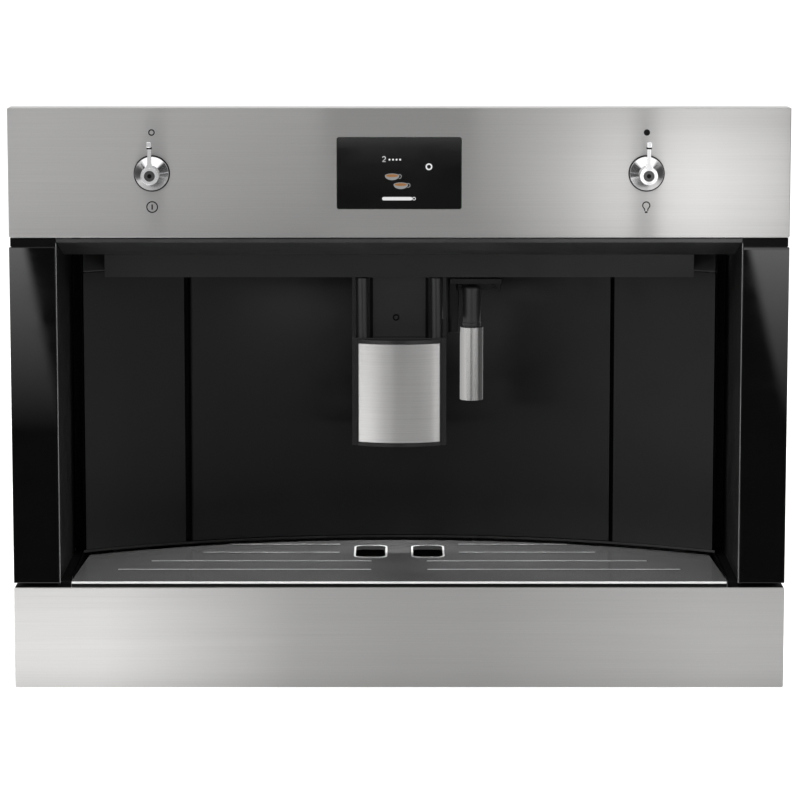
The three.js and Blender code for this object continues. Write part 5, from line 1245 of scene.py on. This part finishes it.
@dataclass
class RecessTrim:
    """Narrow black and bright parts between the recess and what stands round it; the black ones are painted
    shade in its gaps and seams.

    Attributes:
        edge_bar: width of the bar on each glass's inner edge.
        rear_radius: radius of the recess's rear arc.
        rear_middle: how far before the front that arc has its centre.
        filler_span: how far from the middle a filler starts and ends.
        filler_rise: heights of its lower and upper end.
        flange: thickness of the side walls' rear flange.
        facing: thickness of the facing on that flange.
        lining: how far inside the side panels' outer faces a lining starts and ends.
        lining_depth: its front and back.
        lining_foot: height of its lower end.
        seam: how far behind the left panel's back the seam strips start and end.
        seam_inset: how far inside that panel's edge the seam angle has its corner.
    """

    edge_bar: float = 0.75
    rear_radius: float = 490.0
    rear_middle: float = 328.0
    filler_span: Span = (231.4, 250.6)
    filler_rise: Span = (306.3, 325.0)
    flange: float = 3.2
    facing: float = 0.6
    lining: Span = (1.9, 1.4)
    lining_depth: Span = (0.5, 122.0)
    lining_foot: float = 30.0
    seam: Span = (6.2, 7.0)
    seam_inset: float = 0.6

    def __post_init__(self) -> None:
        """Reads the boxes of the neighbours on the right; those on the left mirror them."""
        self.wall_low, self.wall_high = extent("recess_wall_right")
        self.panel_low, self.panel_high = extent("side_panel_right")
        self.tray_low, self.tray_high = extent("cup_grille")
        self.glass_low, self.glass_high = extent("side_glass_right")
        self.outer = self.glass_low[0] - 0.1
        self.beside = (self.panel_high[0] + 0.3, self.outer)
        self.rear = self.wall_high[1] - self.flange

    def build(self) -> None:
        """Makes the fillers, the black sills and linings, the edge bars and the black seam strips; their
        black paints shade in the gaps and seams.
        """
        fillers = [self.filler(side) for side in (-1, 1)]
        seams = [self.seam_angle(), self.seam_post()]
        # lighter grey than the rear panels: painted light where the ceiling shades the fillers
        make_piece("head_fillers", fillers, MACHINE, CEILING_GREY)
        make_piece("recess_sills", self.sills() + self.linings(), MACHINE, SHADE_BLACK)
        make_piece("glass_edge_bars", self.edge_bars(), MACHINE, TRIM_GREY)
        make_piece("seam_strips", seams, MACHINE, SHADE_BLACK)

    def sills(self) -> list[Shell]:
        """Black sills between the tray and the side walls, in front and behind, each rear one on a foot;
        their black paints the shade in those gaps.
        """
        rise = (self.tray_low[2] - 1.0, self.wall_low[2] + 0.6)
        foot = (self.tray_low[2] - 1.5, self.wall_low[2] - 0.05)
        split = self.panel_low[1] - 0.3
        near = (self.glass_high[1] + 1.0, split)
        return [
            *both_sides((self.tray_high[0] + 0.7, self.outer), near, rise, 0.5, 0.1),
            *both_sides(self.beside, (split, self.rear - 0.1), rise, 0.5, 0.1),
            *both_sides(self.beside, (self.panel_low[1] + 40.0, self.wall_high[1] - 0.1), foot, 0.5, 0.02),
        ]

    def linings(self) -> list[Shell]:
        """Black linings inside the side panels, covers above the glasses, and facings on the flanges: painted
        shade that keeps lit sheet in the gaps dark.
        """
        inside = (self.panel_high[0] - self.lining[0], self.panel_high[0] - self.lining[1])
        lining_rise = (self.lining_foot, self.tray_high[2] + 1.4)
        above = (self.glass_low[0] + 0.2, self.glass_high[0] - 0.6)
        cover_depth = (self.glass_high[1] - 0.6, self.glass_high[1] + 0.2)
        cover_rise = (self.glass_high[2] + 0.3, self.wall_high[2] - 0.2)
        facing_rise = (self.wall_low[2] + 0.7, self.filler_rise[1])
        return [
            *both_sides(inside, self.lining_depth, lining_rise, 0.2, 0.05),
            *both_sides(above, cover_depth, cover_rise, 0.2, 0.05),
            *both_sides(self.beside, (self.rear - self.facing, self.rear), facing_rise, 0.15, 0.05),
        ]

    def edge_bars(self) -> list[Shell]:
        """The grey edge of each glass, seen from the recess."""
        across, front = (self.outer - self.edge_bar, self.outer), self.glass_low[1]
        rise = (self.glass_low[2], self.glass_high[2] + 3.0)
        return both_sides(across, (front + 0.5, front + 1.8), rise, 0.3, 0.2, 3)

    def filler(self, side: int) -> Shell:
        """The strip that carries a rear panel's curve on up beside the dispensing head, painted lighter than
        that panel against the ceiling's shade.

        Its points lie on the recess's rear arc: the place across and the root of the radius
        squared less that place squared.
        """
        across = side * np.linspace(*self.filler_span, 8)
        depth = np.sqrt(self.rear_radius**2 - across**2) - self.rear_middle
        front = np.stack([across, depth + 0.1], -1)
        back = np.stack([across, depth + 3.0], -1)[::-1]
        return slab(np.vstack([front, back]), *self.filler_rise, Plane.TOP, rim=0.1)

    def seam_angle(self) -> Shell:
        """The black angle on the left panel's edge, which closes the view through the seam beside it and
        paints the seam's shade.
        """
        low, high = extent("recess_panel_left")
        near, far = self.seam
        plan = [[-1.0, -2.0], [0, -2.0], [0, near], [11.0, near], [11.0, far], [-1.0, far]]
        outline = np.array(plan) + [high[0] - self.seam_inset, high[1]]
        return slab(outline, low[2] + 0.5, high[2] - 0.5, Plane.TOP, rim=0.1)

    def seam_post(self) -> Shell:
        """The black post on the shelf that closes the view through the seam beside the tank and paints the
        seam's shade.
        """
        high = extent("recess_panel_left")[1]
        across = (self.seam_inset - high[0] - 10.0, extent("water_tank")[0][0] - 0.7)
        depth = (high[1] + self.seam[0], high[1] + self.seam[1])
        return bar(across, depth, (extent("brew_shelf")[1][2], high[2] - 0.5), 0.2, 0.1)


@dataclass
class Spout:
    """The height-adjustable spout: its convex steel plate on the black housing.

    Attributes:
        bulge: how far the plate's middle stands out before its ends.
        side_radius: radius of its turned ends.
        eyelet: place of the small ringed hole, in X and Z.
        panel_depth: how far the panel between the pillars lies behind the plate.
        groove: how far from the middle a groove's shade starts and ends.
    """

    bulge: float = 8.0
    side_radius: float = 1.0
    rim: float = 0.4
    eyelet: tuple[float, float] = (-2.5, 274.0)
    panel_depth: float = 11.0
    groove: Span = (20.6, 23.0)
    groove_foot: float = 259.0

    def build(self) -> None:
        """Makes the steel plate and the housing's shades, and dresses the housing."""
        low, high = extent("spout_plate")
        plate = slab(self.plate_plan(low, high), low[2], high[2], Plane.TOP, rim=self.rim)
        replace_node("spout_plate_skin", "spout_plate", [plate], SPOUT_STEEL)
        dress("spout_housing", GLOSS_BLACK, 0.5)
        shades = self.shades(high[1] + self.panel_depth)
        make_piece("spout_shades", shades, body_of("spout_housing"), SHADE_BLACK)

    def shades(self, face: float) -> list[Shell]:
        """The small ringed hole in the panel between the pillars, and at both its sides a black strip that
        paints the shade of a groove.
        """
        front, edge = face - 0.5, face - 0.05
        profile = [[1.5, edge], [1.7, front], [2.3, front], [2.7, edge], [2.7, face + 0.4]]
        eyelet = turned_ring(profile, self.eyelet, Plane.FRONT, 36)
        rise = (self.groove_foot, extent("spout_housing")[1][2] - 0.5)
        return [eyelet, *both_sides(self.groove, (face - 0.6, face - 0.1), rise, 0.15, 0.05)]

    def plate_plan(self, low: Array, high: Array) -> Outline:
        """Plan of the plate: a shallow arc in front whose ends turn back in quarter rounds.

        The arc's depth grows with the square of the place across it, and each end is a quarter
        circle of the side radius.
        """
        half = (high[0] - low[0]) / 2
        middle = (high[0] + low[0]) / 2
        inner = half - self.side_radius
        share = np.linspace(-1, 1, 25)
        front = np.stack([middle + inner * share, low[1] + self.bulge * share**2], -1)
        right = arc((middle + inner, low[1] + self.bulge + self.side_radius), self.side_radius, -78, 0, 8)
        left = right[::-1] * [-1, 1] + [2 * middle, 0]
        back = np.array([[middle + half, high[1]], [middle - half, high[1]]])
        return np.vstack([left, front, right, back])


@dataclass
class Nozzle:
    """The hot water nozzle: its bracket, the insulated tube and the sliding steel sleeve.

    Attributes:
        bore: radius of the hole in the sleeve's lower end.
        rim: radius of the sleeve's lower edge.
        collar: how far the tube's collar stands out.
        block_depth: depth of the bracket's block and side plate.
        roof_overhang: how far the roof passes the frame's bracket on the right.
    """

    bore: float = 3.0
    wall: float = 1.4
    rim: float = 0.7
    upper_rim: float = 0.35
    tube_radius: float = 7.0
    tube_edge: float = 2.4
    collar: float = 0.35
    block_depth: float = 7.5
    block_height: float = 11.5
    plate_width: float = 7.6
    roof_overhang: float = 4.0

    def build(self) -> None:
        """Makes the sleeve, the tube and the bracket."""
        low, high = extent("nozzle_sleeve")
        sleeve = turned_ring(self.sleeve_profile(low, high), (low + high)[:2] / 2, Plane.TOP, 72)
        replace_node("nozzle_sleeve_skin", "nozzle_sleeve", [sleeve], SLEEVE_STEEL)
        tube = turned(self.tube_profile(high[2] + 1.0), (low + high)[:2] / 2, Plane.TOP)
        replace_node("nozzle_tube", "nozzle_grip", [tube], NOZZLE_GREY)
        replace_node("nozzle_hanger", "nozzle_bracket", self.hanger(), HANGER_BLACK)

    def sleeve_profile(self, low: Array, high: Array) -> list[list[float]]:
        """The sleeve's stops: a floor with a hole, an outer wall with soft edges and an inner wall."""
        radius, bottom, top = (high[0] - low[0]) / 2, low[2], high[2]
        inner = radius - self.wall
        return [
            [self.bore, bottom],
            *fillet_profile(radius, bottom, self.rim, 1),
            *fillet_profile(radius, top, self.upper_rim, -1)[::-1],
            [inner, top - 0.3],
            [inner, bottom + self.wall],
            [self.bore, bottom + self.wall],
        ]

    def tube_profile(self, collar_low: float) -> list[list[float]]:
        """The tube's stops: a soft lower edge, a collar over the sleeve and a rounded upper edge."""
        low, high = extent("nozzle_grip")
        radius, top = self.tube_radius, high[2] - 0.7
        return [
            [0, low[2]],
            *fillet_profile(radius, low[2], 0.6, 1),
            [radius, collar_low],
            [radius + self.collar, collar_low + 0.3],
            [radius + self.collar, collar_low + 2.4],
            [radius, collar_low + 2.7],
            *fillet_profile(radius, top, self.tube_edge, -1)[::-1],
            [0, top],
        ]

    def hanger(self) -> list[Shell]:
        """The bracket: a roof under the head, a block behind the tube, a side plate and two screws."""
        low, high = extent("nozzle_bracket")
        back = extent("nozzle_grip")[1][1] + 1.2
        behind = (back, back + self.block_depth)
        left, right, top = low[0], high[0] + self.roof_overhang, high[2]
        foot = top - self.block_height
        head = [[0, -0.2], [1.0, -0.2], [1.2, -0.9], [2.0, -0.7], [2.3, -0.2], [2.3, 1.0], [0, 1.0]]
        profile = (np.array(head) + [0, back]).tolist()
        places = [(x, (foot + top - 4.2) / 2) for x in (left + 9.0, right - 5.0)]
        return [
            bar((left, right), (low[1] - 4.0, behind[1]), (top - 4.3, top), 1.5, 0.5, 5),
            bar((left + 4.5, right - 1.0), behind, (foot, top - 1.0), 1.0, 0.5, 5),
            bar((left - 0.6, left + self.plate_width), behind, (low[2], top - 1.0), 1.0, 0.5, 5),
            *(turned(profile, place, Plane.FRONT, 28) for place in places),
        ]


@dataclass
class Casing:
    """The recess, the chassis and the works: nodes that keep their own shape.

    Attributes:
        finishes: each finish, with the nodes that get it and the width of their broken edges.
    """

    finishes: tuple[tuple[Finish, dict[str, float]], ...] = field(
        default_factory=lambda: (
            (WALL_BLACK, {"recess_wall_left": 0.4, "recess_wall_right": 0.4}),
            (PANEL_BLACK, {"recess_panel_left": 0.4, "tank_panel": 0.4, "service_door": 0.3}),
            (CEILING_GREY, {"recess_ceiling": 0.3}),
            (LAMP_WHITE, {"cup_lamp": 0.3}),
            (SATIN_BLACK, {"front_frame": 0.3, "dispensing_head": 0.5, "tank_dock": 0.4, "tank_lid": 0.4}),
            (SATIN_BLACK, {"powder_chute": 0.4, "powder_lid": 0.4, "grinder_body": 0.5, "grind_dial": 0.4}),
            (SATIN_BLACK, {"power_inlet": 0.3, "main_switch": 0.4}),
            (SMOKED_CLEAR, {"water_tank": 0.4, "bean_hopper": 0.4, "bean_lid": 0.4}),
            (WHITE_PLASTIC, {"brew_body": 0.6, "brew_piston": 0.3}),
            (BOARD_GREEN, {"control_board": 0.2, "power_board": 0.2}),
            (TOOL_STEEL, {"knob_stem_left": 0.2, "knob_stem_right": 0.2, "grinding_burr": 0.2, "pump": 0.5}),
            (DARK_ZINC, {"brew_shelf": 0.25, "upper_deck": 0.25}),
            (BOILER_STEEL, {"boiler": 0.6}),
            (COPPER, {"coffee_pipe": 0.0}),
            (ZINC, {"grinder_motor": 0.6}),
        )
    )
    sheet_edge: float = 0.25

    def build(self) -> None:
        """Dresses every listed node, and all others that still show in zinc."""
        for finish, nodes in self.finishes:
            for node, edge in nodes.items():
                dress(node, finish, edge)
        for node, piece in frame["nodes"].items():
            if not piece.modifiers and not piece.hide_render:
                dress(node, ZINC, self.sheet_edge)


# ---------------------------------------------------------------- studio


@dataclass(frozen=True)
class Softbox:
    """An area lamp: where it stands, what it looks at, its size and its power in watts."""

    name: str
    place: tuple[float, float, float]
    aim: tuple[float, float, float]
    width: float
    height: float
    power: float

    def build(self) -> None:
        """Hangs the lamp where it lights matt surfaces; the camera and glossy surfaces don't see it."""
        data = bpy.data.lights.new(self.name, "AREA")
        data.shape = "RECTANGLE"
        data.size, data.size_y = self.width, self.height
        data.energy = self.power
        lamp = bpy.data.objects.new(self.name, data)
        bpy.context.scene.collection.objects.link(lamp)
        turn_to(lamp, self.place, self.aim)
        lamp.visible_camera = lamp.visible_glossy = False


def turn_to(thing: bpy.types.Object, place: Sequence[float], aim: Sequence[float]) -> None:
    """Puts a lamp or camera at a place and turns its -Z axis to its aim."""
    thing.location = place
    thing.rotation_euler = (Vector(aim) - Vector(place)).to_track_quat("-Z", "Y").to_euler()


@dataclass(frozen=True)
class Card:
    """An upright reflector that only glossy surfaces see; its brightness runs along its width.

    Attributes:
        name: its name.
        low: its lowest corner, in metres.
        high: its highest corner; one of X and Y is that of the lowest corner.
        stops: places along its width, in metres, each with a brightness.
        facing: 1 or -1 where only the face towards more or less X shines, and 0 for both faces.
    """

    name: str
    low: tuple[float, float, float]
    high: tuple[float, float, float]
    stops: tuple[Span, ...]
    facing: int = 0

    def build(self) -> None:
        """Makes the card."""
        sheet = Sheet(self.name)
        split = sheet.add("ShaderNodeSeparateXYZ")
        sheet.join(sheet.place, split.inputs[0])
        along = 0 if self.high[0] > self.low[0] else 1
        light = sheet.ramp(split.outputs[along], self.low[along], self.high[along], self.stops)
        if self.facing:
            back = sheet.add("ShaderNodeNewGeometry").outputs["Backfacing"]
            light = sheet.mix(back, light, 0.0)
        glossy_only(self.quad(), sheet, light)

    def quad(self) -> bpy.types.Object:
        """The card's rectangle."""
        (x0, y0, z0), (x1, y1, z1) = self.low, self.high
        corners = [(x0, y0, z0), (x1, y1, z0), (x1, y1, z1), (x0, y0, z1)]
        return stage_face(self.name, corners[::-1] if self.facing < 0 else corners)


def glossy_only(face: bpy.types.Object, sheet: Sheet, light: Socket) -> None:
    """Lets a face shine with a brightness, and hides it from all but glossy rays."""
    glow = sheet.add("ShaderNodeEmission")
    sheet.join(light, glow.inputs["Strength"])
    sheet.join(glow.outputs[0], sheet.output.inputs[0])
    sheet.tree.nodes.remove(sheet.surface)
    face.data.materials.append(sheet.material)
    face.visible_camera = face.visible_diffuse = face.visible_transmission = False
    face.visible_shadow = False


@dataclass
class TableCloth:
    """What glossy surfaces see of the table before the machine: a dark cloth with bright sides.

    Near the machine the table is bare and bright, most to the left.  The cloth widens with its
    distance from the machine, and the table beside it brightens with that distance.
    """

    near_end: float = 0.24
    near: tuple[Span, ...] = (
        (-0.4, 3.9), (-0.235, 3.9), (-0.16, 2.6), (-0.08, 1.3), (0.0, 1.0), (0.07, 1.0), (0.16, 1.45),
        (0.25, 1.9), (0.4, 1.7),
    )
    middle: float = 0.7
    foot: float = 0.45
    middle_end: float = 0.42
    left_edge: tuple[float, float] = (0.211, 0.121)
    right_edge: tuple[float, float] = (0.338, 0.072)
    cloth: float = 0.05
    bright: float = 2.7
    reach: Span = (1.35, 3.45)
    side_fade: float = 0.012
    near_fade: float = 0.08
    middle_fade: float = 0.04
    foot_fade: Span = (0.02, 0.13)
    half_width: float = 4.0
    front: float = -6.0
    back: float = -0.02
    height: float = 0.001

    def build(self, floor_height: float) -> None:
        """Lays the cloth over the floor and hides it from all but glossy rays."""
        level = floor_height + self.height
        sheet = Sheet("table_cloth")
        split = sheet.add("ShaderNodeSeparateXYZ")
        sheet.join(sheet.place, split.inputs[0])
        x, y = split.outputs[0], split.outputs[1]
        distance = sheet.math("MULTIPLY", y, -1.0)
        left, right = (
            sheet.math("MULTIPLY_ADD", distance, slope, start)
            for start, slope in (self.left_edge, self.right_edge)
        )
        edge = sheet.mix(sheet.math("GREATER_THAN", x, 0.0), left, right)
        beyond = sheet.math("SUBTRACT", sheet.math("ABSOLUTE", x), edge)
        outside = sheet.spread(beyond, 0.0, 1.0, 0.0, self.side_fade)
        far = sheet.spread(distance, self.cloth, self.bright, *self.reach)
        light = sheet.mix(outside, self.cloth, far)
        bare = sheet.ramp(x, self.near[0][0], self.near[-1][0], self.near)
        near = sheet.spread(distance, 0.0, 1.0, self.near_end - self.near_fade, self.near_end)
        middle_start = self.middle_end - self.middle_fade
        start = sheet.spread(distance, 0.0, 1.0, middle_start, self.middle_end)
        bare = sheet.math("MULTIPLY", bare, sheet.spread(distance, self.foot, 1.0, *self.foot_fade))
        bare = sheet.mix(near, bare, self.middle)
        cloth = flat_sheet("table_cloth", (-self.half_width, self.front), (self.half_width, self.back), level)
        glossy_only(cloth, sheet, sheet.mix(start, bare, light))


def stage_face(name: str, corners: Sequence[Sequence[float]]) -> bpy.types.Object:
    """A four-cornered face of the studio, in metres."""
    mesh = bpy.data.meshes.new(name)
    mesh.from_pydata(corners, [], [[0, 1, 2, 3]])
    face = bpy.data.objects.new(name, mesh)
    bpy.context.scene.collection.objects.link(face)
    return face


def flat_sheet(name: str, low: Sequence[float], high: Sequence[float], height: float) -> bpy.types.Object:
    """A level rectangle of the studio, in metres."""
    (x0, y0), (x1, y1) = low, high
    return stage_face(name, [(x0, y0, height), (x1, y0, height), (x1, y1, height), (x0, y1, height)])


@dataclass
class Surround:
    """The studio round the machine, as the camera, matt surfaces and glossy surfaces see it.

    It is white to the camera, even to matt surfaces, and has soft bright and dark stretches to
    glossy ones.

    Each stretch is an azimuth in degrees, 0 towards the camera and growing to the viewer's right,
    with the brightness there.
    """

    plain: float = 0.55
    stretches: tuple[Span, ...] = (
        (-180, 1.0), (-128, 1.0), (-118, 0.05), (-84, 0.05), (-76, 2.1), (-50, 2.1), (-34, 1.4),
        (-21, 0.85), (-10, 0.68), (-4, 0.6), (4, 0.58), (14, 0.38), (32, 0.22), (44, 0.12), (48, 0.3),
        (52, 1.7), (70, 1.5), (76, 0.05), (118, 0.05), (128, 1.0), (180, 1.0),
    )
    overhead: float = 1.25
    overhead_from: float = 0.62
    overhead_to: float = 0.76

    def build(self) -> None:
        """Wires the world."""
        world = bpy.data.worlds.new("surround")
        bpy.context.scene.world = world
        world.use_nodes = True
        wiring = Wiring(world.node_tree)
        output = wiring.add("ShaderNodeOutputWorld")
        background = wiring.add("ShaderNodeBackground", Color=(1, 1, 1, 1))
        wiring.join(background.outputs[0], output.inputs[0])
        plain = wiring.mix(wiring.rays("Is Camera Ray", "Is Transmission Ray"), self.plain, 1.0)
        level = wiring.mix(wiring.rays("Is Glossy Ray"), plain, self.seen_in_gloss(wiring))
        wiring.join(level, background.inputs["Strength"])

    def seen_in_gloss(self, wiring: Wiring) -> Socket:
        """Brightness by azimuth, and an even glow from overhead."""
        split = wiring.add("ShaderNodeSeparateXYZ")
        wiring.join(wiring.add("ShaderNodeTexCoord").outputs["Generated"], split.inputs[0])
        x, y, z = split.outputs
        azimuth = wiring.math("ARCTAN2", x, wiring.math("MULTIPLY", y, -1.0))
        degrees = wiring.math("MULTIPLY", azimuth, 360 / TURN)
        level = wiring.ramp(degrees, -180, 180, self.stretches)
        up = wiring.spread(z, 0.0, 1.0, self.overhead_from, self.overhead_to)
        return wiring.mix(up, level, self.overhead)


@dataclass
class Studio:
    """A pale floor, a soft surround and the photograph's camera."""

    camera_place: tuple[float, float, float] = (0.0006, -2.822, 0.6174)
    aim: tuple[float, float, float] = (0.0006, -0.022, 0.2202)
    lens: float = 166.0
    film_width: float = 36.0
    sight: float = 200.0
    floor_half: float = 30.0
    floor_glow: float = 0.72
    floor_gap: float = 0.5
    lamps: tuple[Softbox, ...] = (
        Softbox("top_box", (0.0, -0.9, 1.9), (0.0, 0.0, 0.2), 1.8, 1.0, 22),
        Softbox("left_box", (-1.8, -1.8, 1.0), (0.0, 0.0, 0.2), 1.0, 1.2, 12),
        Softbox("right_box", (1.9, -1.6, 0.9), (0.0, 0.0, 0.2), 1.0, 1.2, 12),
        Softbox("rear_box", (0.4, 2.2, 1.6), (0.0, 0.2, 0.2), 1.4, 1.0, 20),
        Softbox("cup_light", (0.0, 0.116, 0.300), (0.0, 0.06, 0.0), 0.2, 0.008, 1.3),
    )
    cards: tuple[Card, ...] = (
        Card(
            "high_right_card",
            (0.06, -0.1, 0.328),
            (0.31, -0.1, 0.43),
            (
                (0.06, 0.5), (0.079, 0.62), (0.127, 1.15), (0.159, 1.7), (0.182, 1.9), (0.187, 0.95),
                (0.199, 0.95), (0.204, 2.15), (0.237, 2.35), (0.269, 2.05), (0.31, 1.6),
            ),
        ),
        Card(
            "high_left_card",
            (-0.31, -0.1, 0.335),
            (-0.06, -0.1, 0.43),
            ((-0.31, 0.76), (-0.2, 0.58), (-0.1, 0.5), (-0.06, 0.48)),
        ),
        Card("left_flag", (-0.95, -0.35, 0.0), (-0.95, 0.45, 0.9), ((-0.35, 0.06), (0.45, 0.06))),
        Card("right_flag", (0.95, -0.35, 0.0), (0.95, 0.45, 0.9), ((-0.35, 0.06), (0.45, 0.06))),
        Card(
            "nozzle_left_card",
            (0.0415, 0.052, 0.19),
            (0.0415, 0.1, 0.272),
            ((0.052, 0.9), (0.07, 0.6), (0.1, 0.4)),
            facing=1,
        ),
        Card(
            "nozzle_right_card",
            (0.078, 0.06, 0.19),
            (0.078, 0.12, 0.272),
            ((0.06, 0.1), (0.085, 0.15), (0.1, 0.7), (0.12, 1.2)),
            facing=-1,
        ),
    )

    def build(self) -> None:
        """Sets the camera, the lamps, the floor and the surround."""
        self.make_camera()
        for light in (*self.lamps, *self.cards):
            light.build()
        level = (extent("drawer_front")[0][2] - self.floor_gap) * MM
        self.make_floor(level)
        TableCloth().build(level)
        Surround().build()
        bpy.context.scene.view_settings.view_transform = "Standard"

    def make_camera(self) -> None:
        """The camera looks a little down on the front from nearly three metres."""
        data = bpy.data.cameras.new("camera")
        data.lens = self.lens
        data.sensor_width = self.film_width
        data.clip_end = self.sight
        camera = bpy.data.objects.new("camera", data)
        bpy.context.scene.collection.objects.link(camera)
        turn_to(camera, self.camera_place, self.aim)
        bpy.context.scene.camera = camera

    def make_floor(self, level: float) -> None:
        """The floor that the front's lower edge just clears; it shows white and keeps the shadow."""
        half = self.floor_half
        floor = flat_sheet("floor", (-half, -half), (half, half), level)
        sheet = Sheet("floor_paper")
        fibres = sheet.noise((60, 60, 60), detail=3)
        sheet.colour(fibres, grey(0.78), grey(0.8))
        sheet.set(Roughness=0.9, Specular_IOR_Level=0.1, Emission_Color=(1, 1, 1, 1))
        seen = sheet.rays("Is Glossy Ray", "Is Transmission Ray", "Is Camera Ray")
        glow = sheet.math("MULTIPLY", seen, self.floor_glow)
        sheet.join(glow, sheet.surface.inputs["Emission Strength"])
        floor.data.materials.append(sheet.material)


def main() -> None:
    """Builds the studio and every sub-assembly, and reports each piece."""
    logging.basicConfig(level=logging.INFO, format="%(message)s")
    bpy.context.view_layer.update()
    Studio().build()
    ControlPanel().build()
    for node in ("knob_left", "knob_right"):
        LeverKnob(node).build()
    SideGlasses().build()
    Drawer().build()
    Spout().build()
    Nozzle().build()
    RecessTrim().build()
    Casing().build()


if __name__ == "__main__":
    main()
